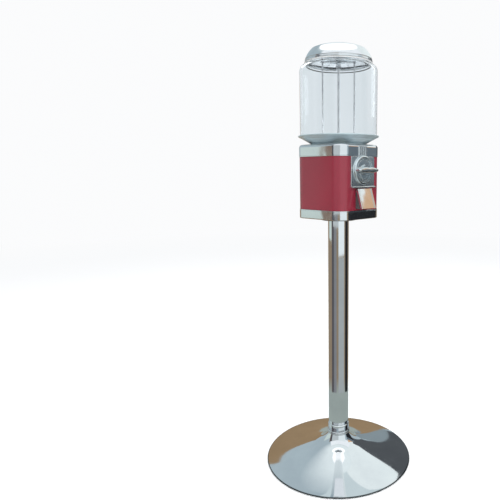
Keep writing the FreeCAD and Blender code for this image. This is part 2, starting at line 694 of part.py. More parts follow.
def rods():
    """Centre rod, the two side rods, the two bars that join them and their nuts."""
    centre = new_body("centre_rod")
    rod_foot = d.floor_level - d.floor_wall - 7
    pad(centre, "XY_Plane", rod_foot, d.socket_bottom + 6 - rod_foot, circle(0, 0, d.centre_rod_radius))
    foot_nut = new_body("centre_rod_nut")
    pad(foot_nut, "XY_Plane", rod_foot + 2, 5, hexagon(0, 0, d.centre_rod_radius + 2),
        circle(0, 0, d.centre_rod_radius + d.rod_gap))

    flange_top = d.cabinet_top - d.plate_wall
    hole = d.side_rod_radius + d.rod_gap
    lower = new_body("lower_bridge")
    pad(lower, "XY_Plane", flange_top, d.bridge_thick,
        along_diagonal(d.hopper_hole - 1, d.bridge_width / 2),
        circle(0, 0, d.centre_rod_radius + d.rod_gap), *[circle(x, y, hole) for x, y in side_rod_places()])
    upper = new_body("upper_bridge")
    pad(upper, "XY_Plane", d.upper_bridge_level, d.upper_bridge_thick,
        along_diagonal(d.upper_bridge_half, d.upper_bridge_width / 2),
        circle(0, 0, d.socket_radius + d.lip_gap), *[circle(x, y, hole) for x, y in side_rod_places()])

    side = new_body("side_rods")
    rod_start = flange_top - 3.4
    rod_end = d.upper_bridge_level + d.upper_bridge_thick + 3.4
    pad(side, "XY_Plane", rod_start, rod_end - rod_start,
        *[circle(x, y, d.side_rod_radius) for x, y in side_rod_places()])
    nuts = new_body("side_rod_nuts")
    for level in (flange_top - 3, d.upper_bridge_level + d.upper_bridge_thick):
        pad(nuts, "XY_Plane", level, 3, *[hexagon(x, y, 4) for x, y in side_rod_places()],
            *[circle(x, y, hole) for x, y in side_rod_places()])


def globe():
    """Clear cylinder, open below, with a round shoulder and a short neck above."""
    inner = d.globe_radius - d.globe_wall
    neck = d.globe_radius - d.globe_shoulder
    start = d.neck_level - d.globe_shoulder
    turned(
        "globe",
        (inner, d.globe_bottom), (d.globe_radius, d.globe_bottom), (d.globe_radius, start),
        (neck, d.neck_level, d.globe_shoulder), (neck, d.neck_top), (neck - d.globe_wall, d.neck_top),
        (neck - d.globe_wall, d.neck_level - d.globe_wall),
        (neck, d.neck_level - d.globe_wall), (inner, start, -(d.globe_shoulder - d.globe_wall)),
    )


def gaskets():
    turned(
        "globe_gasket",
        (d.globe_radius - 4.5, d.seat_level), (d.globe_radius + 1, d.seat_level),
        (d.globe_radius + 1, d.globe_bottom), (d.globe_radius - 4.5, d.globe_bottom),
    )
    neck = d.globe_radius - d.globe_shoulder
    turned(
        "lid_gasket",
        (neck - 4.5, d.neck_top), (neck + 1.2, d.neck_top), (neck + 1.2, d.gasket_top),
        (neck - 4.5, d.gasket_top),
    )


def lid():
    """Pressed dome: a beaded skirt, a steep flank and a shallow crown with a hole for the lock."""
    skirt = d.gasket_top
    flank_foot = skirt + 7
    bore = d.lock_radius - 5
    turned(
        "lid",
        (d.lid_radius - 2.6, skirt), (d.lid_radius - 1, skirt),
        (d.lid_radius, skirt + 1, 1), (d.lid_radius, skirt + 3),
        (d.lid_radius - 1.8, skirt + 4.6, 1.8), (d.lid_radius - 0.9, flank_foot, -1.6),
        (d.lid_flank_radius, d.lid_flank_level, 62),
        (d.lid_crown_radius, d.lid_crown_level - 1.2, 120),
        (d.lid_crown_radius - 4, d.lid_crown_level, -9), (bore, d.lid_crown_level),
        (bore, d.lid_crown_level - d.lid_skin), (d.lid_crown_radius - 4, d.lid_crown_level - d.lid_skin),
        (d.lid_crown_radius, d.lid_crown_level - 1.2 - d.lid_skin, 9),
        (d.lid_flank_radius - 1, d.lid_flank_level - d.lid_skin, -118.4),
        (d.lid_radius - 2.8, flank_foot, -60.4), (d.lid_radius - 4.2, skirt + 4.6),
        (d.lid_radius - 2.6, skirt + 3),
    )


def lock():
    """Socket on the centre rod, lock housing in the lid and the keyed bolt that screws them together."""
    turned(
        "lock_socket",
        (d.centre_rod_radius + d.rod_gap, d.socket_bottom), (d.socket_radius, d.socket_bottom),
        (d.socket_radius, d.socket_top), (d.lock_bolt_radius + 0.3, d.socket_top),
        (d.lock_bolt_radius + 0.3, d.socket_bottom + 8), (0, d.socket_bottom + 8),
        (0, d.socket_bottom + 6), (d.centre_rod_radius + d.rod_gap, d.socket_bottom + 6),
    )
    neck = d.lock_radius - 5
    crown_under = d.lid_crown_level - d.lid_skin
    turned(
        "lock_housing",
        (d.lock_bolt_radius + 1.1, crown_under - 10), (neck - 0.1, crown_under - 10),
        (neck - 0.1, d.lid_crown_level), (d.lock_radius, d.lid_crown_level),
        (d.lock_radius, d.lock_top - 1.4), (d.lock_radius - 1.4, d.lock_top, 1.4),
        (8.2, d.lock_top), (8.2, d.lid_crown_level + 0.6),
        (d.lock_bolt_radius + 1.1, d.lid_crown_level + 0.6),
    )
    turned(
        "lock_nut",
        (neck, crown_under - 5), (neck + 4, crown_under - 5), (neck + 4, crown_under), (neck, crown_under),
    )
    bolt = new_body("lock_bolt")
    pad(bolt, "XY_Plane", d.socket_bottom + 10, d.lid_crown_level - d.socket_bottom - 9,
        circle(0, 0, d.lock_bolt_radius))
    pad(bolt, "XY_Plane", d.lid_crown_level + 1, d.lock_top - d.lid_crown_level - 1.6, circle(0, 0, 8))
    pocket(bolt, "XY_Plane", d.lid_crown_level + 1.6, 5, circle(0, 0, 5), circle(0, 0, 3.4),
           rectangle(3.8, -0.9, 4.6, 0.9))


# ---------------------------------------------------------------- the coin mechanism


def mech_plate():
    """Front casting: plate with a sill, the raised ring of the dial and the fluted coin entry."""
    body = new_body("mech_plate", d.mech_level)
    thickness = d.plate_front - d.plate_back
    pad(body, "XZ_Plane", d.plate_back, thickness,
        rounded(-d.plate_half, -d.plate_foot, d.plate_half, d.plate_head, d.plate_corner))
    round_edges(body, 0.8, lies_at("Y", -d.plate_front))
    sill_round = 1.6
    sill_head = -d.plate_foot + d.sill_height
    pad(body, "YZ_Plane", -d.plate_half, 2 * d.plate_half,
        outline((-d.plate_front + 1, -d.plate_foot), (-d.plate_front + 1, sill_head),
                (-d.sill_front + sill_round, sill_head), (-d.sill_front, sill_head - sill_round, sill_round),
                (-d.sill_front, -d.plate_foot + sill_round),
                (-d.sill_front + sill_round, -d.plate_foot, sill_round)))
    pad(body, "XZ_Plane", d.plate_front - 1, d.ring_front - d.plate_front + 1, circle(0, 0, d.ring_radius))
    round_edges(body, 2.4, lies_at("Y", -d.ring_front))
    pad(body, "XZ_Plane", d.entry_back, d.entry_front - d.entry_back,
        rectangle(-d.entry_half, d.wrap_top - d.mech_level + 0.4, d.entry_half, d.entry_top))
    pad(body, "XZ_Plane", d.plate_back, d.entry_front - d.plate_back,
        rectangle(-d.entry_half, d.plate_head - 6, d.entry_half, d.plate_head + 6))
    round_edges(body, 0.6, lies_at("Y", -d.entry_front))
    pocket(body, "XZ_Plane", d.plate_back - 1, d.ring_front - d.plate_back + 2, circle(0, 0, d.dial_bore))
    flutes = [rectangle(x - 1.1, d.plate_head + 3, x + 1.1, d.entry_top - 2) for x in (-7.5, 0, 7.5)]
    pocket(body, "XZ_Plane", d.entry_front - 0.9, 2, *flutes)
    pocket(body, "XY_Plane", 20, d.entry_top - 19,
           rectangle(-d.coin_width / 2, -d.coin_plane - d.coin_slot / 2, d.coin_width / 2,
                     -d.coin_plane + d.coin_slot / 2))
    pocket(body, "XZ_Plane", d.plate_back - 1, 2.6,
           *[circle(x, z, 2.1) for x, z in mount_places()],
           *[circle(x, z, 1.6) for x, z in drum_screw_places()])


def drum_screw_places():
    return [(x, z) for x in (-29, 29) for z in (-28, 27)]


def mech_gasket():
    """Rubber sheet between the plate and the wrap."""
    body = new_body("mech_gasket", d.mech_level)
    pad(body, "XZ_Plane", d.wrap_half, d.plate_back - d.wrap_half,
        rectangle(-d.plate_half + 1, -d.plate_foot + 1, d.plate_half - 1, d.wrap_top - d.mech_level - 1))
    pocket(body, "XZ_Plane", d.wrap_half - 1, d.plate_back - d.wrap_half + 2,
           rectangle(-d.notch_half, -d.notch_foot, d.notch_half, d.wrap_top - d.mech_level))
    pocket(body, "XZ_Plane", d.wrap_half - 1, d.plate_back - d.wrap_half + 2,
           *[circle(x, z, 2.7) for x, z in mount_places()])


def mech_mount_screws():
    body = new_body("mech_mount_screws", d.mech_level)
    inside = d.wrap_half - d.wrap_wall
    pad(body, "XZ_Plane", inside, d.plate_back + 1.4 - inside,
        *[circle(x, z, 2) for x, z in mount_places()])
    pad(body, "XZ_Plane", inside - 3, 3, *[circle(x, z, 3.9) for x, z in mount_places()])


def mech_drum():
    """Housing behind the plate: a drum round the coin carrier, with the shaft's rear bearing."""
    body = new_body("mech_drum", d.mech_level)
    flange = 3
    pad(body, "XZ_Plane", d.plate_back - flange, flange,
        rounded(-d.tray_half, -(d.notch_foot - 0.6), d.tray_half, d.wrap_top - d.mech_level - 0.4, 3))
    pad(body, "XZ_Plane", d.drum_back, d.plate_back - d.drum_back, circle(0, 0, d.drum_radius))
    pocket(body, "XZ_Plane", d.drum_back + d.drum_plate, d.plate_back - d.drum_back,
           circle(0, 0, d.drum_radius - d.drum_wall))
    pocket(body, "XZ_Plane", d.drum_back - 1, d.drum_plate + 2,
           circle(0, 0, d.shaft_radius + d.bearing_gap))
    pocket(body, "XY_Plane", 20, 20,
           rectangle(-d.coin_width / 2, -d.coin_plane - d.coin_slot / 2, d.coin_width / 2,
                     -d.coin_plane + d.coin_slot / 2))
    # coin exit at the lower right, clear of the chute
    pocket(body, "XZ_Plane", d.drum_back + d.drum_plate, d.plate_back - d.drum_back,
           rectangle(15, -(d.notch_foot + 1), 27, -18))
    pocket(body, "XZ_Plane", d.plate_back - flange - 1, flange + 2,
           *[circle(x, z, 1.8) for x, z in drum_screw_places()])


def drum_screws():
    body = new_body("drum_screws", d.mech_level)
    back = d.plate_back - 3
    pad(body, "XZ_Plane", back, 4.4, *[circle(x, z, 1.5) for x, z in drum_screw_places()])
    pad(body, "XZ_Plane", back - 2.2, 2.2, *[circle(x, z, 2.8) for x, z in drum_screw_places()])


def handle():
    """Butterfly handle on its dial, with a raised shield under the wing."""
    body = new_body("handle", d.mech_level)
    pad(body, "XZ_Plane", d.dial_back, d.dial_front - d.dial_back, circle(0, 0, d.dial_radius))
    round_edges(body, 1.2, lies_at("Y", -d.dial_front))
    pad(body, "XZ_Plane", d.dial_front - 1, 3.4,
        outline((-15, 2), (-15, -12), (0, -26, 34), (15, -12, 34), (15, 2)))
    pad(body, "XZ_Plane", d.dial_front - 1, d.handle_back - d.dial_front + 1.5, circle(0, 0, 12))
    reach = d.handle_half - d.handle_tip
    pad(body, "XZ_Plane", d.handle_back, d.handle_front - d.handle_back,
        outline((-reach, -d.handle_tip, d.handle_tip * 1.02), (0, -d.handle_thick, 76),
                (reach, -d.handle_tip, 76), (reach, d.handle_tip, d.handle_tip * 1.02),
                (0, d.handle_thick, 76), (-reach, d.handle_tip, 76)))
    round_edges(body, 0.8, lies_at("Y", -d.handle_front))
    pocket(body, "XZ_Plane", d.dial_back - 1, d.handle_back - d.dial_back + 1.2,
           circle(0, 0, d.shaft_radius + d.lip_gap))


def mech_rotor():
    """What turns with the handle behind the plate."""
    shaft = new_body("mech_shaft", d.mech_level)
    pad(shaft, "XZ_Plane", d.shaft_back, d.handle_back - d.shaft_back, circle(0, 0, d.shaft_radius))

    bore = d.shaft_radius + d.lip_gap
    carrier = new_body("coin_carrier", d.mech_level)
    pad(carrier, "XZ_Plane", d.carrier_back, d.dial_back - d.carrier_back,
        circle(0, 0, d.carrier_radius), circle(0, 0, bore))
    seat = d.coin_width / 2 + 0.3
    pocket(carrier, "XZ_Plane", d.coin_plane - d.coin_slot / 2 - 0.2, 6,
           outline((-seat, d.carrier_radius + 1), (-seat, 17.5), (seat, 17.5, 13.4),
                   (seat, d.carrier_radius + 1)))

    ratchet = new_body("ratchet_wheel", d.mech_level)
    start = d.ratchet_front - d.ratchet_thick
    pad(ratchet, "XZ_Plane", start, d.ratchet_thick, circle(0, 0, d.ratchet_radius), circle(0, 0, bore))
    step = 2 * math.pi / RATCHET_TEETH
    tip = d.ratchet_radius + d.ratchet_tooth
    inside = d.ratchet_radius - 1
    tooth = pad(ratchet, "XZ_Plane", start, d.ratchet_thick,
                outline((0, inside), (inside * math.sin(step), inside * math.cos(step)), (0, tip)))
    repeat(ratchet, tooth, "Y_Axis", RATCHET_TEETH)

    spacer = new_body("shaft_spacer", d.mech_level)
    pad(spacer, "XZ_Plane", d.pinion_front + 0.1, d.drum_back - d.pinion_front - 0.4,
        circle(0, 0, 6), circle(0, 0, bore))

    pinion = new_body("drive_pinion", d.mech_level)
    back = d.pinion_front - d.pinion_width
    pad(pinion, "XZ_Plane", back, d.pinion_width, circle(0, 0, d.pinion_root), circle(0, 0, bore))
    narrow, wide = gear_tooth(1.3, 1.7, 1.6)
    tooth = pad(pinion, "XZ_Plane", back, d.pinion_width,
                outline((d.pinion_root - 0.6, -wide), (d.pinion_tip, -narrow), (d.pinion_tip, narrow),
                        (d.pinion_root - 0.6, wide)))
    repeat(pinion, tooth, "Y_Axis", PINION_TEETH)

    nut = new_body("shaft_nut", d.mech_level)
    pad(nut, "XZ_Plane", back - 5, 5, hexagon(0, 0, d.shaft_radius + 2.6), circle(0, 0, bore))


def pawl_set():
    """Gravity pawl over the ratchet wheel: it lies on the teeth and turns on a pin in the drum."""
    start = d.ratchet_front - d.ratchet_thick
    tip = d.ratchet_radius + d.ratchet_tooth + 0.3
    pivot = (-24, 6)
    pawl = new_body("ratchet_pawl", d.mech_level)
    pad(pawl, "XZ_Plane", start, d.ratchet_thick,
        outline((pivot[0] - 3, pivot[1]), (pivot[0] + 3, pivot[1], 3.05),
                (-tip * 0.78, tip * 0.64), (-tip * 0.55, tip * 0.86), (-tip * 0.72, tip * 0.98),
                (pivot[0] - 1, pivot[1] + 7.5)))
    pocket(pawl, "XZ_Plane", start - 1, d.ratchet_thick + 2, circle(*pivot, 1.55))
    pin = new_body("pawl_pin", d.mech_level)
    pad(pin, "XZ_Plane", d.drum_back + d.drum_plate, d.ratchet_front - d.drum_back - d.drum_plate,
        circle(*pivot, 1.5))


# ---------------------------------------------------------------- the chute


def chute():
    """Trough from under the drop hole down to the mouth."""
    rear = d.pocket_circle + 17
    exit_back = d.wrap_half - d.wrap_wall - 2.5
    level = d.wrap_level + 10
    slope = 0.46
    foot = level + (rear + exit_back) * slope
    roof = d.race_floor - d.floor_wall - 0.5
    well_front = d.pocket_circle - 17
    body = new_body("chute")
    pad(body, "YZ_Plane", -d.chute_half, 2 * d.chute_half,
        outline((-exit_back, level), (rear, foot), (rear, roof), (well_front, roof),
                (well_front, level + 84), (-exit_back, level + 38)))
    inner = d.chute_half - d.chute_wall
    pocket(body, "YZ_Plane", -inner, 2 * inner,
           outline((-exit_back - 1, level + 1.65 - slope), (rear - d.chute_wall, foot + 0.95),
                   (rear - d.chute_wall, roof + 1), (well_front + d.chute_wall, roof + 1),
                   (well_front + d.chute_wall, level + 86), (-exit_back - 1, level + 86)))


def chute_mouth():
    """Casting in the wrap's lower opening: two cheeks that the flap rests on, and a sill."""
    body = new_body("chute_mouth")
    lean = math.tan(math.radians(value_of(d.flap_lean)))
    top = d.flap_hinge_level
    foot = d.wrap_level + 4.6
    top_front = d.flap_hinge_out - 2.4
    foot_front = top_front + (top - foot) * lean
    back = d.wrap_half - d.wrap_wall - 2
    pad(body, "YZ_Plane", -d.mouth_half, 2 * d.mouth_half,
        outline((-back, foot), (-foot_front, foot), (-top_front, top - 3.4),
                (-(d.flap_hinge_out - 1.9), top - 2.6), (-(d.flap_hinge_out + 1.2), top - 2.1),
                (-(d.flap_hinge_out + 1.2), top + 0.6), (-back, top + 0.6)))
    inner = d.mouth_half - d.mouth_wall
    pocket(body, "YZ_Plane", -inner, 2 * inner,
           outline((-back + 1, foot + 2), (-foot_front - 2, foot + 2), (-foot_front - 2, top + 2),
                   (-(d.wrap_half + 3), top + 2), (-(d.wrap_half + 1), top - 2), (-back + 1, top - 2)))
    pocket(body, "YZ_Plane", -(d.mouth_half + 1), 2 * d.mouth_half + 2,
           circle(-d.flap_hinge_out, top, d.pin_radius))


def flap_pin():
    body = new_body("flap_pin", d.flap_hinge_level)
    body.setExpression(".Placement.Base.y", text_of(-d.flap_hinge_out))
    pad(body, "YZ_Plane", -d.flap_half, 2 * d.flap_half, circle(0, 0, d.pin_radius - 0.02))


def chute_flap():
    """Lift-up flap on its pin: a dished panel with two side rims."""
    body = new_body("chute_flap", d.flap_hinge_level)
    body.Placement.Rotation = FreeCAD.Rotation(FreeCAD.Vector(1, 0, 0), -value_of(d.flap_lean))
    body.setExpression(".Placement.Base.y", text_of(-d.flap_hinge_out))
    back = -(d.pin_radius + 0.25)
    front = back - d.flap_skin
    pad(body, "YZ_Plane", -d.flap_half, 2 * d.flap_half,
        outline((front, -d.flap_length), (back, -d.flap_length), (back, 2.2), (front, 2.2)))
    for left in (-d.flap_half, d.flap_half - d.flap_rim):
        pad(body, "YZ_Plane", left, d.flap_rim,
            outline((front, -d.flap_length), (3.4, -d.flap_length + 2), (4.6, -2),
                    (2.2, 2.6, 4.8), (front, 2.6)))
    pocket(body, "YZ_Plane", -(d.flap_half + 1), 2 * d.flap_half + 2,
           circle(0, 0, d.pin_radius + 0.03))
    # finger lip along the free edge
    pad(body, "YZ_Plane", -d.flap_half, 2 * d.flap_half,
        outline((front - 0.8, -d.flap_length), (front + 0.2, -d.flap_length),
                (front + 0.2, -d.flap_length + 2.4), (front - 0.4, -d.flap_length + 1.2)))


for make in (
    base_shell, base_weight, foot_ring, base_collar, post_coupling, post_tube, cabinet_flange,
    flange_bolts, tie_rod_set, bottom_casting, body_wrap, top_casting, corner_fasteners, cash_box,
    hopper_well, dispensing_wheel, face_gear, wheel_bearing, brush_guard, hopper_screws, hopper_dish,
    rods, globe, gaskets, lid, lock, mech_plate, mech_gasket, mech_mount_screws, mech_drum,
    drum_screws, handle, mech_rotor, pawl_set, chute, chute_mouth, flap_pin, chute_flap,
):
    make()

doc.recompute()
failed = [item.Label for item in doc.Objects if {"Invalid", "Error"} & set(item.State)]
failed += [item.Label for item in parts if item.Shape.isNull() or not item.Shape.isValid()]
if failed:
    raise RuntimeError(f"these objects did not build: {sorted(set(failed))}")

os.makedirs("parts", exist_ok=True)
for item in parts:
    item.Shape.exportStep(os.path.join("parts", f"{item.Label}.step"))
print(f"wrote {len(parts)} parts")
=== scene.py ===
"""Gumball machine on a trumpet-footed post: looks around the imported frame.

Lengths are metres. MM turns a size in millimetres into metres. +Z is up and the front faces -Y.
"""

import json
import math

import bmesh
import bpy
from mathutils import Matrix, Vector
from mathutils.geometry import tessellate_polygon

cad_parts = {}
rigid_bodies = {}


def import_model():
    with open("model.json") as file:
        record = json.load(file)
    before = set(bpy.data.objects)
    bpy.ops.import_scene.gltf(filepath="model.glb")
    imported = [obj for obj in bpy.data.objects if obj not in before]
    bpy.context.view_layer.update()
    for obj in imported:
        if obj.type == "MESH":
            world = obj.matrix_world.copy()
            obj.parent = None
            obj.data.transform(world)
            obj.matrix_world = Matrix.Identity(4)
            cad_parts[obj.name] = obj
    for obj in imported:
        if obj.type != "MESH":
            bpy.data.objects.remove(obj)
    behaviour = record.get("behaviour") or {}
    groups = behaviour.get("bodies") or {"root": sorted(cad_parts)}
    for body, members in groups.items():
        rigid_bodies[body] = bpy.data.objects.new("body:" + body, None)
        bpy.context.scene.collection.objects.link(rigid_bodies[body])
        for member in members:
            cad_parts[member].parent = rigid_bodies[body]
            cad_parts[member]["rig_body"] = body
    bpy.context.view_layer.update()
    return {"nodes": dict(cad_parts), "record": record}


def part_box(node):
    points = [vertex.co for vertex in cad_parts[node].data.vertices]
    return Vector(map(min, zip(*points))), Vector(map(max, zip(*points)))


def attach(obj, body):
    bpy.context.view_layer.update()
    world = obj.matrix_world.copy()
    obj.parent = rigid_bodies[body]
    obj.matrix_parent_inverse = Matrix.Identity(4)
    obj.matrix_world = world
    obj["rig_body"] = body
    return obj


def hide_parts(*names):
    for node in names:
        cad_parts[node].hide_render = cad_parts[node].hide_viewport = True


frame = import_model()

MM = 0.001
TURN = 2 * math.pi
ROUND_STEPS = 192       # divisions of a large turned piece
ARC_STEP = math.radians(5)      # turn between two points of an outline's arc
FINE_STEP = math.radians(6)
SMOOTH_ANGLE = math.radians(32)
BEVEL_ANGLE = math.radians(40)
CORNER_STEPS = 14       # divisions of a round corner


# ---------------------------------------------------------------- shading nodes


class Shader:
    """A material being built: a node tree with its Principled BSDF and object coordinates."""

    def __init__(self, name, **inputs):
        self.material = bpy.data.materials.new(name)
        self.material.use_nodes = True
        self.tree = self.material.node_tree
        self.bsdf = self.tree.nodes["Principled BSDF"]
        self.coords = self.add("ShaderNodeTexCoord").outputs["Object"]
        for label, value in inputs.items():
            self.bsdf.inputs[label.replace("_", " ")].default_value = value

    def add(self, kind, **settings):
        node = self.tree.nodes.new(kind)
        for label, value in settings.items():
            setattr(node, label, value)
        return node

    def join(self, output, socket):
        self.tree.links.new(output, socket)

    def feed(self, node, label, value):
        """Sets an input to a number or colour, or links it to another node's output."""
        if isinstance(value, bpy.types.NodeSocket):
            self.join(value, node.inputs[label])
        else:
            node.inputs[label].default_value = value

    def stretched(self, x, y, z):
        """Object coordinates scaled differently along each axis."""
        node = self.add("ShaderNodeMapping")
        self.join(self.coords, node.inputs["Vector"])
        node.inputs["Scale"].default_value = (x, y, z)
        return node.outputs["Vector"]

    def math(self, operation, first, second=0.0):
        node = self.add("ShaderNodeMath", operation=operation)
        self.feed(node, 0, first)
        self.feed(node, 1, second)
        return node.outputs[0]

    def axes(self):
        split = self.add("ShaderNodeSeparateXYZ")
        self.join(self.coords, split.inputs[0])
        return split.outputs

    def radial_distance(self):
        """Distance from the post's axis."""
        axes = self.axes()
        squares = [self.math("MULTIPLY", axes[k], axes[k]) for k in ("X", "Y")]
        return self.math("SQRT", self.math("ADD", *squares))

    def radial(self, rings_per_metre, along=0.0):
        """Coordinates that change only with the distance from the post's axis, and a little along it."""
        vector = self.add("ShaderNodeCombineXYZ")
        self.feed(vector, 0, self.math("MULTIPLY", self.radial_distance(), rings_per_metre))
        self.feed(vector, 1, self.math("MULTIPLY", self.axes()["Z"], along))
        return vector.outputs[0]

    def noise(self, scale, detail=3.0, vector=None, roughness=0.5):
        node = self.add("ShaderNodeTexNoise")
        self.join(vector or self.coords, node.inputs["Vector"])
        node.inputs["Scale"].default_value = scale
        node.inputs["Detail"].default_value = detail
        node.inputs["Roughness"].default_value = roughness
        return node.outputs["Fac"]

    def spread(self, value, low, high, source_low=0.35, source_high=0.65):
        """Maps a texture's usual range to low..high."""
        node = self.add("ShaderNodeMapRange")
        self.feed(node, "Value", value)
        node.inputs["From Min"].default_value = source_low
        node.inputs["From Max"].default_value = source_high
        node.inputs["To Min"].default_value = low
        node.inputs["To Max"].default_value = high
        return node.outputs["Result"]

    def blend(self, factor, first, second):
        node = self.add("ShaderNodeMix", data_type="RGBA")
        self.feed(node, 0, factor)
        for socket, colour in ((6, first), (7, second)):
            if isinstance(colour, bpy.types.NodeSocket):
                self.join(colour, node.inputs[socket])
            else:
                node.inputs[socket].default_value = (*colour, 1)
        return node.outputs[2]

    def bump(self, height, depth, strength=1.0, under=None):
        node = self.add("ShaderNodeBump")
        self.feed(node, "Height", height)
        node.inputs["Distance"].default_value = depth
        node.inputs["Strength"].default_value = strength
        if under is not None:
            self.join(under, node.inputs["Normal"])
        return node.outputs["Normal"]

    def edges(self, radius):
        """Normals that round every edge a little."""
        node = self.add("ShaderNodeBevel", samples=3)
        node.inputs["Radius"].default_value = radius
        return node.outputs["Normal"]

    def edge_highlight(self, low, high):
        """From low on flat or hollow places to high on sharp edges."""
        return self.spread(self.add("ShaderNodeNewGeometry").outputs["Pointiness"], low, high, 0.5, 0.56)

    def done(self, colour=None, roughness=None, normal=None):
        if colour is not None:
            self.join(colour, self.bsdf.inputs["Base Color"])
        if roughness is not None:
            self.join(roughness, self.bsdf.inputs["Roughness"])
        if normal is not None:
            self.join(normal, self.bsdf.inputs["Normal"])
        return self.material


def chrome_plate(name, ripple):
    """Mirror chrome with faint smudges; ripple is the height of the casting's waves under it."""
    s = Shader(name, Metallic=1.0, Roughness=0.1)
    smudge = s.noise(14, 6, roughness=0.6)
    colour = s.blend(s.spread(smudge, 0, 1), (0.74, 0.75, 0.77), (0.82, 0.83, 0.84))
    waves = s.bump(s.noise(26, 1), ripple, 1.0)
    pores = s.bump(s.noise(900, 2), 0.00001, 0.5, waves)
    return s.done(colour, s.spread(smudge, 0.07, 0.13), pores)


def spun_chrome(name, shaded_from=None):
    """Chrome on spun or drawn metal: fine rings round the axis under the plating.

    The last argument is a distance from the axis past which the plating is painted dark: a painted shade
    along the foot's rim where it meets the floor.
    """
    s = Shader(name, Metallic=1.0, Roughness=0.04)
    smudge = s.noise(9, 7, roughness=0.62)
    colour = s.blend(s.spread(smudge, 0, 1), (0.76, 0.77, 0.79), (0.84, 0.85, 0.86))
    if shaded_from:
        # painted shade: past that distance the rim is coloured nearly black
        edge = s.spread(s.radial_distance(), 0, 1, shaded_from, shaded_from + 0.0008)
        colour = s.blend(edge, colour, (0.09, 0.095, 0.10))
    rings = s.bump(s.noise(1, 2, s.radial(420, 60)), 0.00003, 0.5)
    return s.done(colour, s.spread(smudge, 0.025, 0.075), rings)


def red_enamel(name):
    s = Shader(name, Roughness=0.32, Specular_IOR_Level=0.5, Coat_Weight=0.35, Coat_Roughness=0.16)
    tone = s.noise(5, 4)
    colour = s.blend(s.spread(tone, 0, 1), (0.205, 0.012, 0.028), (0.235, 0.015, 0.033))
    peel = s.bump(s.noise(520, 2), 0.00003, 0.4)
    return s.done(colour, s.spread(s.noise(30, 5), 0.28, 0.36), peel)


def spun_aluminium(name):
    """Dull aluminium with the rings that spinning leaves."""
    s = Shader(name, Metallic=0.6, Roughness=0.36, Anisotropic=0.5)
    rings = s.noise(1, 3, s.radial(900, 240))
    stain = s.noise(20, 5)
    colour = s.blend(s.spread(stain, 0, 1), (0.47, 0.58, 0.62), (0.60, 0.71, 0.75))
    return s.done(colour, s.spread(rings, 0.24, 0.38), s.bump(rings, 0.00006, 0.7))


def clear_plastic(name):
    """Moulded clear plastic with faint flow lines down its wall."""
    s = Shader(name, Roughness=0.02, IOR=1.16, Transmission_Weight=1.0)
    flow = s.noise(1, 2, s.stretched(26, 26, 1.5))
    haze = s.noise(60, 6)
    colour = s.blend(s.spread(flow, 0, 1), (0.82, 0.86, 0.88), (0.87, 0.905, 0.925))
    return s.done(colour, s.spread(haze, 0.0, 0.05), s.bump(flow, 0.0004, 0.6))


def cast_zinc(name):
    """Satin die casting with a painted highlight: its sharp edges are painted a paler grey."""
    s = Shader(name, Metallic=0.95, Roughness=0.34)
    grain = s.noise(240, 4)
    cloud = s.noise(30, 4)
    base = s.blend(s.spread(cloud, 0, 1), (0.60, 0.67, 0.70), (0.72, 0.79, 0.82))
    # painted highlight: sharp edges are coloured paler than the rest
    colour = s.blend(s.edge_highlight(0, 0.8), base, (0.78, 0.8, 0.81))
    normal = s.bump(grain, 0.00007, 0.6, s.edges(0.0005))
    return s.done(colour, s.spread(cloud, 0.12, 0.2), normal)


def plated_steel(name, dark, light, low, high):
    """Steel with the fine lines of turning or brushing."""
    s = Shader(name, Metallic=1.0, Roughness=0.3)
    lines = s.noise(1, 4, s.stretched(60, 60, 1800))
    cloud = s.noise(50, 4)
    colour = s.blend(s.spread(cloud, 0, 1), dark, light)
    return s.done(colour, s.spread(lines, low, high), s.bump(lines, 0.00004, 0.5, s.edges(0.0003)))


def moulded_plastic(name, dark, light):
    s = Shader(name, Roughness=0.45, Specular_IOR_Level=0.45)
    cloud = s.noise(24, 5)
    colour = s.blend(s.spread(cloud, 0, 1), dark, light)
    grain = s.bump(s.noise(520, 3), 0.00008, 0.5, s.edges(0.0005))
    return s.done(colour, s.spread(cloud, 0.38, 0.55), grain)


def soft_rubber(name, dark, light):
    s = Shader(name, Roughness=0.8, Specular_IOR_Level=0.3)
    cloud = s.noise(90, 5)
    colour = s.blend(s.spread(cloud, 0, 1), dark, light)
    return s.done(colour, s.spread(cloud, 0.7, 0.9), s.bump(s.noise(700, 4), 0.0001, 0.6))


def sand_cast_iron(name):
    s = Shader(name, Metallic=0.4, Roughness=0.75)
    lumps = s.noise(160, 6, roughness=0.65)
    rust = s.noise(12, 6)
    colour = s.blend(s.spread(rust, 0, 1, 0.5, 0.8), (0.045, 0.045, 0.048), (0.10, 0.06, 0.045))
    return s.done(colour, s.spread(lumps, 0.6, 0.85), s.bump(lumps, 0.0006, 0.8))


def bristles(name):
    s = Shader(name, Roughness=0.7)
    hairs = s.noise(1, 2, s.stretched(2600, 2600, 40))
    colour = s.blend(s.spread(hairs, 0, 1), (0.02, 0.02, 0.02), (0.11, 0.11, 0.11))
    return s.done(colour, None, s.bump(hairs, 0.0006, 1.0))


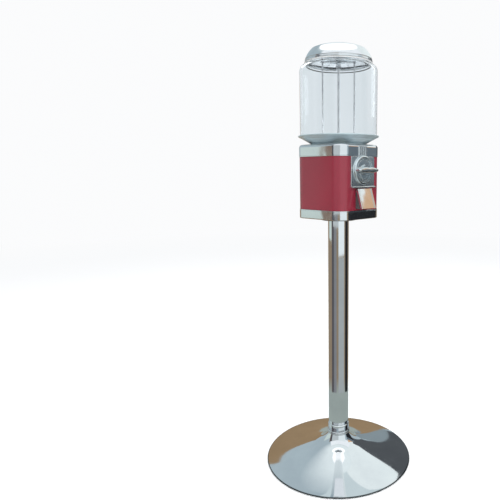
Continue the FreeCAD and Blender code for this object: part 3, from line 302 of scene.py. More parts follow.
FINISHES = {
    "chrome": chrome_plate("chrome", 0.0006),
    "spun_chrome": spun_chrome("spun_chrome"),
    # the foot's outer rim is painted dark, a painted shade where it meets the floor
    "foot_chrome": spun_chrome("foot_chrome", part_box("base_shell")[1].x - 0.0026),
    "red_enamel": red_enamel("red_enamel"),
    "satin_aluminium": spun_aluminium("satin_aluminium"),
    "clear_plastic": clear_plastic("clear_plastic"),
    "zinc": cast_zinc("zinc"),
    "steel": plated_steel("steel", (0.44, 0.45, 0.47), (0.58, 0.59, 0.6), 0.22, 0.4),
    "bright_steel": plated_steel("bright_steel", (0.66, 0.67, 0.69), (0.78, 0.79, 0.8), 0.12, 0.26),
    "brass": plated_steel("brass", (0.62, 0.44, 0.18), (0.78, 0.6, 0.3), 0.2, 0.38),
    "white_plastic": moulded_plastic("white_plastic", (0.66, 0.66, 0.62), (0.78, 0.78, 0.75)),
    # near black so that the chute mouth's cheek beside the flap shows as the dark shade the flap casts there:
    # painted shade
    "grey_plastic": moulded_plastic("grey_plastic", (0.05, 0.046, 0.047), (0.08, 0.073, 0.075)),
    "bristle": bristles("bristle"),
    "gasket": soft_rubber("gasket", (0.72, 0.73, 0.73), (0.84, 0.85, 0.85)),
    "cast_iron": sand_cast_iron("cast_iron"),
    "rubber": soft_rubber("rubber", (0.018, 0.018, 0.019), (0.04, 0.04, 0.042)),
}

for part in frame["record"]["subparts"]:
    data = frame["nodes"][part["node"]].data
    data.materials.clear()
    data.materials.append(FINISHES[part["material_slot"]])


# ---------------------------------------------------------------- mesh helpers


def arc(start, end, radius, step=ARC_STEP):
    """Points after start up to end on an arc; a positive radius turns left on the way."""
    (x0, y0), (x1, y1) = start, end
    dx, dy = x1 - x0, y1 - y0
    chord = math.hypot(dx, dy)
    size = max(abs(radius), chord / 2)
    rise = math.sqrt(max(size * size - chord * chord / 4, 0)) * (1 if radius > 0 else -1)
    cx, cy = (x0 + x1) / 2 - dy / chord * rise, (y0 + y1) / 2 + dx / chord * rise
    sweep = 2 * math.asin(min(chord / 2 / size, 1)) * (1 if radius > 0 else -1)
    first = math.atan2(y0 - cy, x0 - cx)
    count = max(2, math.ceil(abs(sweep) / step))
    return [
        (cx + size * math.cos(first + sweep * k / count), cy + size * math.sin(first + sweep * k / count))
        for k in range(1, count + 1)
    ]


def trace(points, step=ARC_STEP):
    """A closed outline as plain points. A point (x, y, radius) is reached by an arc."""
    path = []
    for k, point in enumerate(points):
        if len(point) == 3:
            path += arc(points[k - 1][:2], point[:2], point[2], step)
        else:
            path.append(point[:2])
    return path


def in_mm(points):
    """Points given in millimetres, as metres."""
    return [tuple(value * MM for value in point) for point in points]


def finish_mesh(node, bm, material=None):
    """Makes the object, gives it its node's finish, and lets it stand for the node."""
    bmesh.ops.recalc_face_normals(bm, faces=bm.faces)
    data = bpy.data.meshes.new(node)
    bm.to_mesh(data)
    bm.free()
    data.shade_smooth()
    data.set_sharp_from_angle(angle=SMOOTH_ANGLE)
    piece = bpy.data.objects.new(node, data)
    bpy.context.scene.collection.objects.link(piece)
    slot = next(p["material_slot"] for p in frame["record"]["subparts"] if p["node"] == node)
    data.materials.append(FINISHES[material or slot])
    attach(piece, frame["nodes"][node]["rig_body"])
    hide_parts(node)
    return piece


def ring_faces(bm, loops, closed=True):
    """Quads between each loop of vertices and the next."""
    pairs = list(zip(loops, loops[1:] + loops[:1])) if closed else list(zip(loops, loops[1:]))
    for first, second in pairs:
        for k in range(len(first)):
            after = (k + 1) % len(first)
            bm.faces.new((first[k], first[after], second[after], second[k]))


def lathe(bm, profile, steps=ROUND_STEPS, centre=(0, 0), axis="Z"):
    """Turns a closed (radius, height) profile. Along Y, the height is the distance forward."""
    loops = []
    for k in range(steps):
        c, s = math.cos(TURN * k / steps), math.sin(TURN * k / steps)
        if axis == "Z":
            loops.append([bm.verts.new((centre[0] + r * c, centre[1] + r * s, h)) for r, h in profile])
        else:
            loops.append([bm.verts.new((centre[0] + r * c, -h, centre[1] + r * s)) for r, h in profile])
    ring_faces(bm, loops)
    bmesh.ops.remove_doubles(bm, verts=bm.verts, dist=1e-6)


def turned(node, profile, steps=ROUND_STEPS, step=ARC_STEP, places=((0, 0),), material=None):
    """A turned piece from an outline in millimetres that stands for the node."""
    bm = bmesh.new()
    path = trace(in_mm(profile), step)
    for centre in places:
        lathe(bm, path, steps, centre)
    return finish_mesh(node, bm, material)


# in millimetres; lead is how far the first crest stands from the rod's end
SMALL_THREAD = {"length": 8, "pitch": 0.9, "depth": 0.22, "lead": 0.4, "chamfer": 0.5}
LARGE_THREAD = {"length": 16, "pitch": 1.2, "depth": 0.3, "lead": 0.6, "chamfer": 0.6}


def threaded(node, r, places, length, pitch, depth, lead, chamfer):
    """Upright rods of radius r in millimetres, with a rolled thread at each end."""
    low, high = size_mm(node)
    crests = [(r - depth * (k % 2), lead + pitch / 2 * k) for k in range(2 * int(length / pitch))]
    turned(node, [
        (0.01, low.z), (r - chamfer, low.z), *[(x, low.z + z) for x, z in crests],
        *[(x, high.z - z) for x, z in reversed(crests)], (r - chamfer, high.z), (0.01, high.z),
    ], steps=40, places=places)


def square_ring(bm, half, corner, level):
    """A loop of vertices round a square with round corners."""
    loop = []
    inner = half - corner
    for quarter in range(4):
        turn = quarter * math.pi / 2
        cx, cy = inner * (1 if quarter in (0, 3) else -1), inner * (1 if quarter in (0, 1) else -1)
        for k in range(CORNER_STEPS + 1):
            a = turn + math.pi / 2 * k / CORNER_STEPS
            loop.append(bm.verts.new((cx + corner * math.cos(a), cy + corner * math.sin(a), level)))
    return loop


def squared(node, half, corner, profile):
    """Sweeps a closed (inset, level) outline in millimetres round a square with round corners."""
    bm = bmesh.new()
    loops = []
    for inset, level in trace(in_mm(profile)):
        loops.append(square_ring(bm, half - inset, max(corner - inset, 0.2 * MM), level))
    ring_faces(bm, loops)
    return finish_mesh(node, bm)


# turns a slab that was built standing about X, so that its forward distances become heights
LAY_FLAT = Matrix(((1, 0, 0, 0), (0, 0, 1, 0), (0, -1, 0, 0), (0, 0, 0, 1)))


def slab(bm, outline, back, front, holes=(), lift=0.0):
    """A plate standing in the XZ plane between two distances forward, with holes through it."""
    loops = [outline, *holes]
    flat = [(x, z + lift) for loop in loops for x, z in loop]
    floor_reflection_glow = [bm.verts.new((x, -front, z)) for x, z in flat]
    far = [bm.verts.new((x, -back, z)) for x, z in flat]
    start = 0
    for loop in loops:
        count = len(loop)
        for k in range(count):
            a, b = start + k, start + (k + 1) % count
            bm.faces.new((floor_reflection_glow[a], floor_reflection_glow[b], far[b], far[a]))
        start += count
    caps = tessellate_polygon([[Vector((x, z, 0)) for x, z in loop] for loop in loops])
    for corners in caps:
        bm.faces.new([floor_reflection_glow[k] for k in corners])
        bm.faces.new([far[k] for k in reversed(corners)])


def round_outline(radius, steps, centre=(0, 0)):
    """A circle as plain points."""
    return [
        (centre[0] + radius * math.cos(TURN * k / steps), centre[1] + radius * math.sin(TURN * k / steps))
        for k in range(steps)
    ]


def bevelled(piece, width, segments=3):
    """Eases the piece's edges."""
    bevel = piece.modifiers.new("edges", "BEVEL")
    bevel.width = width
    bevel.segments = segments
    bevel.limit_method = "ANGLE"
    bevel.angle_limit = BEVEL_ANGLE
    bevel.harden_normals = True
    return piece


def size_mm(node):
    """A node's lowest and highest corners in millimetres."""
    low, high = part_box(node)
    return low / MM, high / MM


# ---------------------------------------------------------------- stand


def base_shell():
    low, high = size_mm("base_shell")
    rim = high.x
    flare, flare_level, bead, skin = rim / 3.015, high.z * 0.548, 1.7, 2
    neck = rim * 0.149
    bell, skirt = 71, 463
    turned("base_shell", [
        (10, high.z), (10, high.z - skin), (neck - 2.2, high.z - skin),
        (flare - 0.8, flare_level - 1.85, bell + skin),
        (rim - 2 * bead - 0.6, low.z + 2 * bead - 1.2, skirt),
        (rim - bead, low.z, -1.35 * bead), (rim, low.z + bead, bead), (rim - bead, low.z + 2 * bead, bead),
        (flare, flare_level, -skirt), (neck, high.z, -bell),
    ], steps=320, step=math.radians(1.5), material="foot_chrome")


def base_collar():
    """Two round beads with a groove between, and the coupling's seat above."""
    low, high = size_mm("base_collar")
    r, tall = high.x, high.z - low.z
    middle = low.z + tall * 0.5
    turned("base_collar", [
        (10, low.z), (r - 1.6, low.z), (r, low.z + 1.6, 1.65), (r, middle - 1.4),
        (r - 1.2, middle - 0.35, 1.3), (r - 1.9, middle, -0.7), (r - 1.3, middle + 0.35, -0.7),
        (r - 0.4, middle + 1.5, 1.3), (r - 0.4, high.z - 1.7), (r - 2, high.z, 1.8), (10, high.z),
    ], steps=224)


def post_coupling():
    low, high = size_mm("post_coupling")
    r = high.x
    turned("post_coupling", [
        (12, low.z), (r - 0.8, low.z), (r, low.z + 0.8, 0.8), (r, low.z + 17), (r - 0.6, low.z + 18.2, 1.5),
        (r - 1.9, low.z + 19.2), (r - 1.9, low.z + 20.4), (r - 1.4, low.z + 21, 0.7), (r - 1.4, low.z + 22),
        (r - 4, low.z + 22), (r - 4, high.z), (12, high.z),
    ], steps=224, material="spun_chrome")


def post_tube():
    low, high = size_mm("post_tube")
    r, wall = high.x, 2
    turned("post_tube", [
        (r - wall, low.z), (r - 0.6, low.z), (r, low.z + 0.6, 0.6), (r, high.z - 0.6),
        (r - 0.6, high.z, 0.6), (r - wall, high.z),
    ], steps=224, material="spun_chrome")


# ---------------------------------------------------------------- cabinet


def band_shape(node):
    """A casting's lowest and highest level in millimetres, its half width and its corners' radius."""
    low, high = size_mm(node)
    return low.z, high.z, high.x * MM, 31 * MM


def bottom_casting():
    """Pan with a rounded lower edge, a bead at its top and a lip that the wrap fits round."""
    low, high, half, corner = band_shape("bottom_casting")
    lip, seat = 3.6, high - 6
    lip_top = seat + 3.9
    squared("bottom_casting", half, corner, [
        (81.5, low + 4), (81.5, low), (2.4, low), (0, low + 2.4, -2.4), (0, seat - 3.4),
        (0.5, seat - 2.9), (0.5, seat - 2.3), (0, seat - 1.8), (0, seat - 0.6), (0.6, seat, -0.6),
        (lip - 1, seat), (lip - 1, lip_top), (lip + 1.4, lip_top), (lip + 1.4, low + 4.6), (lip + 2, low + 4),
    ])


def body_wrap():
    """Folded sheet, hemmed along both edges, its ends closed by a groove at the rear.

    Its front is open for the chute's mouth and, up to its top edge, for the coin mechanism.
    """
    low, high = size_mm("body_wrap")
    half, corner, skin = high.x * MM, 30 * MM, 1.5
    mouth, notch = (25.3, low.z + 4, 765.5), (36, 779, high.z)      # (half width, bottom, top)
    groove_half = [(2.2, 0), (1.2, 0.45), (0.5, 0.45), (0.5, 0.9)]      # (across, depth)
    groove = groove_half + [(-x, depth) for x, depth in reversed(groove_half)]
    corner_points = CORNER_STEPS + 1
    sides = sorted(side * opening[0] for opening in (mouth, notch) for side in (-1, 1))
    levels = [mouth[1], mouth[2], notch[1]]
    bm = bmesh.new()
    path = trace(in_mm([
        (0.5, low.z), (0.1, low.z + 0.5, -0.5), (0, low.z + 2.5), *[(0, level) for level in levels],
        (0, high.z - 2.5), (0.1, high.z - 0.5), (0.5, high.z, -0.5), (skin, high.z),
        *[(skin, level) for level in reversed(levels)], (skin, low.z),
    ]))
    rings = []
    for inset, level in path:
        loop = square_ring(bm, half - inset, corner - inset, level)
        is_outer = inset < skin * MM * 0.9
        rear = [bm.verts.new((x * MM, half - inset - depth * MM * is_outer, level)) for x, depth in groove]
        front = [bm.verts.new((x * MM, inset - half, level)) for x in sides]
        rings.append(loop[:corner_points] + rear + loop[corner_points:3 * corner_points] + front
                     + loop[3 * corner_points:])
    first = 3 * corner_points + len(groove)         # the first column of the front's openings
    cut = set()
    for wide, bottom, top in (mouth, notch):
        columns = [first + k for k, x in enumerate(sides) if abs(x) <= wide]
        inside = [k for k, (_, level) in enumerate(path) if bottom - 0.01 < level / MM < top + 0.01]
        cut |= {(k, c) for k in inside if (k + 1) % len(path) in inside for c in columns[:-1]}
        for c in (columns[0], columns[-1]):
            bm.faces.new([rings[k][c] for k in inside])
        ends = [(inside[0], inside[-1])]
        if len(inside) == 4:
            ends.append((inside[1], inside[2]))
        for outer, inner in ends:
            for c in columns[:-1]:
                bm.faces.new((rings[outer][c], rings[outer][c + 1], rings[inner][c + 1], rings[inner][c]))
    for k, ring in enumerate(rings):
        above = rings[(k + 1) % len(rings)]
        for c in range(len(ring)):
            if (k, c) not in cut:
                d = (c + 1) % len(ring)
                bm.faces.new((ring[c], ring[d], above[d], above[c]))
    finish_mesh("body_wrap", bm)


def top_casting():
    """Hood with a rounded crown, a flat top round the hopper and a bead over the wrap."""
    low, high, half, corner = band_shape("top_casting")
    seat, crown = low + 6, 8
    hole = 82 - 64.5
    squared("top_casting", half, corner, [
        (2.6, seat - 0.3), (2.6, seat), (0.6, seat), (0, seat + 0.6, -0.6), (0, seat + 1.8),
        (0.5, seat + 2.3), (0.5, seat + 2.9), (0, seat + 3.4), (0, high - crown), (crown, high, -crown),
        (hole - 1, high), (hole, high - 1, -1), (hole, high - 4), (6, high - 4), (5, seat - 0.3),
    ])


# ---------------------------------------------------------------- hopper, globe and lid


def hopper_dish():
    low, high = size_mm("hopper_dish")
    rim, foot = high.x, 70.7
    wall = 97.6
    turned("hopper_dish", [
        (60, low.z), (foot, low.z), (foot + 0.6, low.z + 1.4), (88, low.z + 11.2, -220),
        (rim - 1.8, high.z - 3.4, -220), (rim, high.z - 1.6, 2.6), (rim, high.z - 0.8),
        (rim - 0.8, high.z, 0.8), (rim - 3, high.z), (rim - 4, high.z - 1), (rim - 4, high.z - 2.6),
        (wall - 4, high.z - 2.6), (73.5, low.z + 6.2), (foot + 0.8, low.z + 5), (60, low.z + 5),
    ], steps=256)


def globe():
    low, high = size_mm("globe")
    r, wall, shoulder = high.x, 3, 16
    neck = r - shoulder
    turn = high.z - 3
    turned("globe", [
        (r - wall, low.z + 0.5), (r - wall + 0.5, low.z), (r - 0.8, low.z), (r, low.z + 0.8, 0.8),
        (r, turn - shoulder), (neck, turn, shoulder), (neck, high.z - 0.8), (neck - 0.8, high.z, 0.8),
        (neck - wall + 0.6, high.z), (neck - wall, high.z - 0.6, 0.6), (neck - wall, turn - wall),
        (neck, turn - wall), (r - wall, turn - shoulder, -(shoulder - wall)),
    ], steps=288, step=math.radians(4))


def gasket(node, bulge):
    low, high = size_mm(node)
    outer, inner = high.x, high.x - 5.4
    level = (low.z + high.z) / 2
    bend = bulge * 1.6
    turned(node, [
        (inner, low.z), (outer - bulge, low.z), (outer, level, bend), (outer - bulge, high.z, bend),
        (inner, high.z),
    ], steps=224)


def lid():
    """Pressed dome: a rolled skirt, a groove, a steep flank, a shallow crown and a low raised cap."""
    low, high = size_mm("lid")
    r, skin = high.x, 1.6
    cap, crown, flank_level = 30, high.z - 1.2, low.z + 32
    turned("lid", [
        (r - 2.6, low.z), (r - 1, low.z), (r, low.z + 1, 1), (r, low.z + 3), (r - 1, low.z + 4.2, 1.3),
        (r - 1.9, low.z + 4.9, -1.4), (r - 1.9, low.z + 5.7), (r - 0.9, low.z + 7, -1.5),
        (69.5, flank_level, 62), (cap, crown, 120), (cap - 4, high.z, -9), (7, high.z),
        (7, high.z - skin), (cap - 4, high.z - skin), (cap, crown - skin, 9),
        (68.5, flank_level - skin, -118.4), (r - 2.8, low.z + 7, -60.4), (r - 4.2, low.z + 4.6),
        (r - 2.6, low.z + 3),
    ], steps=288, step=math.radians(2.5))


def lock():
    """Housing, the bolt that a tubular key turns, and the socket that the bolt screws into."""
    low, high = size_mm("lock_housing")
    r, seat = high.x, size_mm("lid")[1].z
    turned("lock_housing", [
        (5.1, low.z), (6.9, low.z), (6.9, seat), (r, seat), (r, seat + 1.2), (r - 0.5, seat + 1.7, 0.6),
        (r - 0.5, high.z - 1.6), (r - 2, high.z, 1.6), (8.8, high.z), (8.2, high.z - 0.6, 0.7),
        (8.2, seat + 0.6), (5.1, seat + 0.6),
    ], steps=96)
    bolt_low, bolt_high = size_mm("lock_bolt")
    bm = bmesh.new()
    head = bolt_high.z
    lathe(bm, trace(in_mm([
        (0, bolt_low.z), (3.4, bolt_low.z), (4, bolt_low.z + 0.7), (4, seat + 1), (8, seat + 1),
        (8, head - 0.6), (7.4, head, 0.6), (5, head), (5, head - 2.6), (3.4, head - 2.6), (3.4, head - 0.1),
        (3, head, 0.4), (0, head),
    ])), 72)
    # a key fits round the pin in the bolt's head, with its notch on this rib
    rib = in_mm([(3.3, head - 2.6), (5.1, head - 2.6), (5.1, head), (3.3, head)])
    slab(bm, rib, -0.9 * MM, 0.9 * MM)
    finish_mesh("lock_bolt", bm)
    socket_low, socket_high = size_mm("lock_socket")
    r = socket_high.x
    turned("lock_socket", [
        (3.15, socket_low.z), (r - 1, socket_low.z), (r, socket_low.z + 1), (r, socket_low.z + 9),
        (r - 0.5, socket_low.z + 9.6), (r - 0.5, socket_low.z + 10.4), (r, socket_low.z + 11),
        (r, socket_high.z - 0.8), (r - 0.8, socket_high.z), (4.3, socket_high.z), (4.3, socket_low.z + 8),
        (0.01, socket_low.z + 8), (0.01, socket_low.z + 6), (3.15, socket_low.z + 6),
    ], steps=72)


SIDE_ROD = 2.3          # radius in millimetres


def rod_places():
    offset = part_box("side_rods")[1].x - SIDE_ROD * MM
    return [(offset, -offset), (-offset, offset)]


def rods():
    threaded("centre_rod", 3, [(0, 0)], **SMALL_THREAD)
    threaded("side_rods", SIDE_ROD, rod_places(), **SMALL_THREAD)


def bridge(node, width, half):
    """Bar along the cabinet's diagonal with rounded ends, a middle boss hole and the rods' holes."""
    low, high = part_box(node)
    middle = 6.6 if node == "upper_bridge" else 3.15
    reach = half - width
    path = trace(in_mm([
        (-reach, -width), (reach, -width), (reach, width, width), (-reach, width), (-reach, -width, width),
    ]), math.radians(8))[:-1]
    offset = math.hypot(*rod_places()[0])
    holes = [round_outline(middle * MM, 32)]
    holes += [round_outline(2.5 * MM, 24, (side * offset, 0)) for side in (-1, 1)]
    bm = bmesh.new()
    slab(bm, path, low.z, high.z, holes)
    bmesh.ops.transform(bm, matrix=Matrix.Rotation(math.radians(-45), 4, "Z") @ LAY_FLAT, verts=bm.verts)
    bevelled(finish_mesh(node, bm), 0.5 * MM)


# ---------------------------------------------------------------- coin mechanism

AXLE = 814              # height of the mechanism's axle in millimetres


def standing(bm, points, back, front, holes=()):
    """A plate from an outline in millimetres about the mechanism's axle, between two distances forward."""
    holes = [trace(in_mm(hole), FINE_STEP) for hole in holes]
    slab(bm, trace(in_mm(points), FINE_STEP), back * MM, front * MM, holes, AXLE * MM)


def round_box(left, bottom, right, top, corner):
    """A box with round corners in millimetres, as an outline to trace."""
    return [
        (left + corner, bottom, corner), (right - corner, bottom), (right, bottom + corner, corner),
        (right, top - corner), (right - corner, top, corner), (left + corner, top),
        (left, top - corner, corner), (left, bottom + corner),
    ]


def mech_plate():
    """Die-cast plate: a sill, the dial's raised ring and the fluted coin entry."""
    low, high = size_mm("mech_plate")
    wide, foot, head, top = high.x, low.z - AXLE, 33.7, high.z - AXLE
    back, front, sill, ring = 81.6, 84, 88, 89.5
    bm = bmesh.new()
    bore = [round_outline(31, 96)]
    standing(bm, round_box(-wide, foot, wide, head, 4), back, front - 0.6, bore)
    standing(bm, round_box(-wide + 0.6, foot + 0.6, wide - 0.6, head - 0.6, 3.6), front - 0.8, front, bore)
    lathe(bm, trace(in_mm([
        (31, back + 0.4), (36.5, back + 0.4), (36.5, ring - 3.8), (33, ring, 3.7), (31.6, ring),
        (31, ring - 0.6, 0.6),
    ])), 144, (0, AXLE * MM), "Y")
    section = trace(in_mm([
        (front - 0.8, foot), (sill - 1.6, foot), (sill, foot + 1.6, 1.6), (sill, foot + 2.6),
        (sill - 1.6, foot + 4.2, 1.6), (front - 0.8, foot + 4.2),
    ]), FINE_STEP)
    ends = [[bm.verts.new((x * MM, -y, AXLE * MM + z)) for y, z in section] for x in (-wide, wide)]
    ring_faces(bm, ends, closed=False)
    bm.faces.new(ends[0])
    bm.faces.new(list(reversed(ends[1])))
    # the coin goes in between a fluted cheek and a plain one
    half, flute, cheek = 15, 2.65, 84.2
    standing(bm, round_box(-half, head - 2, half, top, 0.8), back + 0.3, cheek)
    standing(bm, round_box(-half, head + 0.6, half, top - 0.2, 0.8), 76.6, 79.3)
    for side in (-1, 1):
        middle = side * (half - 1.15)
        standing(bm, round_box(middle - 1.15, head + 0.6, middle + 1.15, top - 0.2, 0.8), 79, back + 0.5)
    for k in range(4):
        middle = -11.25 + 7.5 * k
        standing(bm, round_box(middle - flute, head + 2.6, middle + flute, top - 1.2, 1), cheek - 0.3, 85)
    bevelled(finish_mesh("mech_plate", bm), 0.3 * MM, 2)


def resampled(loop, count):
    """A closed loop of points as count points at even steps along it."""
    lengths = [math.dist(loop[k], loop[(k + 1) % len(loop)]) for k in range(len(loop))]
    total, out, k, done = sum(lengths), [], 0, 0.0
    for step in range(count):
        want = total * step / count
        while done + lengths[k] < want:
            done += lengths[k]
            k += 1
        share = (want - done) / lengths[k]
        (x0, y0), (x1, y1) = loop[k], loop[(k + 1) % len(loop)]
        out.append((x0 + (x1 - x0) * share, y0 + (y1 - y0) * share))
    return out


def handle():
    """Turn handle: dial with a grooved rim, a bordered shield, a hub and a wing with a crowned face."""
    bm = bmesh.new()
    for profile in (
        [(0.01, 83), (29.6, 83), (30.4, 83.7), (30.4, 86.2), (29.6, 87, 0.8), (28, 87), (27.2, 86.3, -0.8),
         (26.4, 86.3), (25.6, 87, -0.8), (0.01, 87)],
        [(0.01, 86), (13.4, 86), (13.4, 87.2), (12, 88.8, -1.8), (11.4, 92.4), (0.01, 92.4)],
    ):
        lathe(bm, trace(in_mm(profile)), 96, (0, AXLE * MM), "Y")
    edge = [(-15, 3), (-15, -12), (0, -26, 34), (15, -12, 34), (15, 3)]
    field = [(-12.6, 2.9), (-12.6, -11), (0, -22.8, 31), (12.6, -11, 31), (12.6, 2.9)]
    standing(bm, edge, 86.5, 89.4, [field])
    standing(bm, edge, 86.4, 88)
    # the wing's outline shrinks by an inset at each level toward its face
    rows = []
    steps = ((91, 0.5), (91.5, 0), (99.6, 0), (102.4, 0.5), (104.4, 1.4), (105.5, 2.5), (106, 3.8))
    for level, inset in steps:
        reach, tip, waist = 34 - inset * 0.3, 4 - inset * 0.55, 6.6 - inset
        path = trace(in_mm([
            (-reach, -tip, tip * 1.02), (0, -waist, 76), (reach, -tip, 76), (reach, tip, tip * 1.02),
            (0, waist, 76), (-reach, tip, 76),
        ]), math.radians(4))
        rows.append([bm.verts.new((x, -level * MM, AXLE * MM + z)) for x, z in resampled(path, 128)])
    ring_faces(bm, rows, closed=False)
    bm.faces.new(rows[0])
    bm.faces.new(list(reversed(rows[-1])))
    bevelled(finish_mesh("handle", bm), 0.25 * MM, 2)


def chute_flap():
    """Pressed flap: a shallow dish between sides that turn back and taper to its free edge."""
    hinge_out, hinge_level, lean = 88.5, 764.5, math.radians(16.6)
    half, length, skin = 28, 49, 1.6
    face = -1.75 - skin                     # the outer face, measured inward from the hinge
    bm = bmesh.new()
    # the panel's section across, swept down: (across, inward)
    section = [
        (-half, 3.4), (-half, 0), (-half, face + 0.9), (-half + 0.9, face, -0.9), (-half + 4, face + 0.1),
        (-half + 5.4, face + 0.5), (half - 5.4, face + 0.5), (half - 4, face + 0.1), (half - 0.9, face),
        (half, face + 0.9, -0.9), (half, 0), (half, 3.4),
    ]
    inner = [
        (half - skin, 3.4), (half - skin, face + skin + 0.4), (half - 2.4, face + skin),
        (-half + 2.4, face + skin), (-half + skin, face + skin + 0.4), (-half + skin, 3.4),
    ]
    outline = trace(section, FINE_STEP) + inner

    def placed(across, inward, down):
        """inward is the distance behind the hinge's plane; down runs along the leaning flap."""
        y = inward * math.cos(lean) - down * math.sin(lean) - hinge_out
        z = hinge_level - down * math.cos(lean) - inward * math.sin(lean)
        return across * MM, y * MM, z * MM

    rows = []
    # how much of their depth the sides keep at each distance down the flap
    kept = ((-2.4, 0.5), (-1.6, 0.8), (0, 1), (20, 1), (44, 1), (46.6, 0.55), (48.2, 0.3), (length, 0.2))
    for down, depth in kept:
        rows.append([bm.verts.new(placed(x, y if y <= 0 else y * depth, down)) for x, y in outline])
    ring_faces(bm, rows, closed=False)
    bm.faces.new(rows[0])
    bm.faces.new(list(reversed(rows[-1])))
    bevelled(finish_mesh("chute_flap", bm), 0.2 * MM, 2)


# ---------------------------------------------------------------- fasteners and wheel


def hexagon_nut(bm, centre, across, low, high, bore, steps=72):
    """A chamfered nut standing on its axis, with a countersunk bore of this radius, in millimetres."""
    flat = across / 2
    corner = flat * 2 / math.sqrt(3)
    chamfer, sink = (corner - flat) * 0.6, 0.4

    def loop(level, limit):
        """The hexagon at a level, cut off by a circle."""
        points = []
        for k in range(steps):
            a = TURN * k / steps
            r = min(flat / math.cos((a + math.pi / 6) % (math.pi / 3) - math.pi / 6), limit)
            x, y = centre[0] + r * math.cos(a), centre[1] + r * math.sin(a)
            points.append(bm.verts.new((x * MM, y * MM, level * MM)))
        return points

    ring_faces(bm, [loop(level, limit) for level, limit in (
        (low, flat * 0.985), (low + chamfer, corner), (high - chamfer, corner), (high, flat * 0.985),
        (high, bore + sink), (high - sink, bore), (low + sink, bore), (low, bore + sink),
    )])


def nuts(node, places, across, bore, thickness=None):
    """Nuts at each place: one as tall as the node, or one of this thickness at each of its ends."""
    low, high = size_mm(node)
    levels = [(low.z, high.z)]
    if thickness:
        levels = [(low.z, low.z + thickness), (high.z - thickness, high.z)]
    bm = bmesh.new()
    for centre in places:
        for bottom, top in levels:
            hexagon_nut(bm, centre, across, bottom, top, bore)
    finish_mesh(node, bm)


def four_screws(node, reach, shank, head, head_height):
    """Threaded screws under domed heads, at this reach from the post's axis along X and Y."""
    low, high = size_mm(node)
    start, seat, pitch = low.z, high.z - head_height, 0.9
    crests = 2 * int((seat - start) / pitch) - 2
    threads = [(shank - 0.2 * (k % 2), start + 0.4 + pitch / 2 * k) for k in range(crests)]
    profile = trace(in_mm([
        (0.01, start), (shank - 0.5, start), *threads, (shank, seat), (head, seat), (head, seat + 0.7),
        (head * 0.55, high.z, head * 1.1), (0.01, high.z),
    ]))
    bm = bmesh.new()
    for x, y in ((reach, 0), (0, reach), (-reach, 0), (0, -reach)):
        lathe(bm, profile, 36, (x * MM, y * MM))
    finish_mesh(node, bm)


def fasteners():
    """The nuts, screws, studs and washers that hold the machine together."""
    corners = [(x, y) for x in (-60, 60) for y in (-60, 60)]
    nuts("side_rod_nuts", [(x / MM, y / MM) for x, y in rod_places()], 8, 2.45, 3)
    nuts("centre_rod_nut", [(0, 0)], 10, 3.15)
    nuts("tie_rod_nuts", [(0, 0)], 19, 6.1, 9.5)
    nuts("corner_nuts", corners, 8.2, 2.6, 4)
    four_screws("hopper_screws", 67.6, 1.75, 2.9, 2)
    four_screws("flange_bolts", 36, 3, 5.4, 3.6)
    threaded("tie_rod", 6, [(0, 0)], **LARGE_THREAD)
    threaded("corner_studs", 2.5, [(x * MM, y * MM) for x, y in corners], **LARGE_THREAD)
    low, high = size_mm("tie_rod_washers")
    thickness = 2
    bm = bmesh.new()
    for level in (low.z, high.z - thickness):
        lathe(bm, trace(in_mm([
            (6.1, level), (12.7, level), (13.1, level + 0.4, 0.4), (13.1, level + 1.6),
            (12.7, level + thickness, 0.4), (6.4, level + thickness), (6.1, level + 1.7),
        ])), 72)
    finish_mesh("tie_rod_washers", bm)


def dispensing_wheel():
    """Moulded wheel: five pockets with eased rims, and a foot that is wider than its body."""
    low, high = size_mm("dispensing_wheel")
    body, pocket, circle, bore = 50, 14.6, 34, 7.05
    holes = [round_outline(bore * MM, 40)]
    for k in range(5):
        a = math.pi / 2 + TURN * k / 5
        centre = (circle * MM * math.cos(a), circle * MM * math.sin(a))
        holes.append(round_outline(pocket * MM, 48, centre))
    bm = bmesh.new()
    slab(bm, round_outline(body * MM, 160), low.z * MM, high.z * MM, holes)
    bmesh.ops.transform(bm, matrix=LAY_FLAT, verts=bm.verts)
    foot, inside = body + 2, body - 0.5
    lathe(bm, trace(in_mm([
        (inside, low.z + 0.2), (body, low.z), (foot, low.z + 0.2), (foot, low.z + 3.5),
        (body, low.z + 5.5, -2), (inside, low.z + 5.5),
    ])), 160)
    bevelled(finish_mesh("dispensing_wheel", bm), 1.1 * MM, 3)


# ---------------------------------------------------------------- studio

BACKDROP = (0.965, 0.97, 0.978)


def stage_mesh(name, vertices, faces, material):
    data = bpy.data.meshes.new(name)
    data.from_pydata(vertices, [], faces)
    data.shade_smooth()
    thing = bpy.data.objects.new(name, data)
    bpy.context.scene.collection.objects.link(thing)
    data.materials.append(material)
    return thing


def glow(s, colour, factor, other):
    """The shader's surface shows another shader where factor is one, and a plain glow elsewhere."""
    light_up = s.add("ShaderNodeEmission")
    s.feed(light_up, "Color", colour if isinstance(colour, bpy.types.NodeSocket) else (*colour, 1))
    mix = s.add("ShaderNodeMixShader")
    s.join(factor, mix.inputs[0])
    s.join(light_up.outputs[0], mix.inputs[1])
    s.join(other, mix.inputs[2])
    s.join(mix.outputs[0], s.tree.nodes["Material Output"].inputs["Surface"])


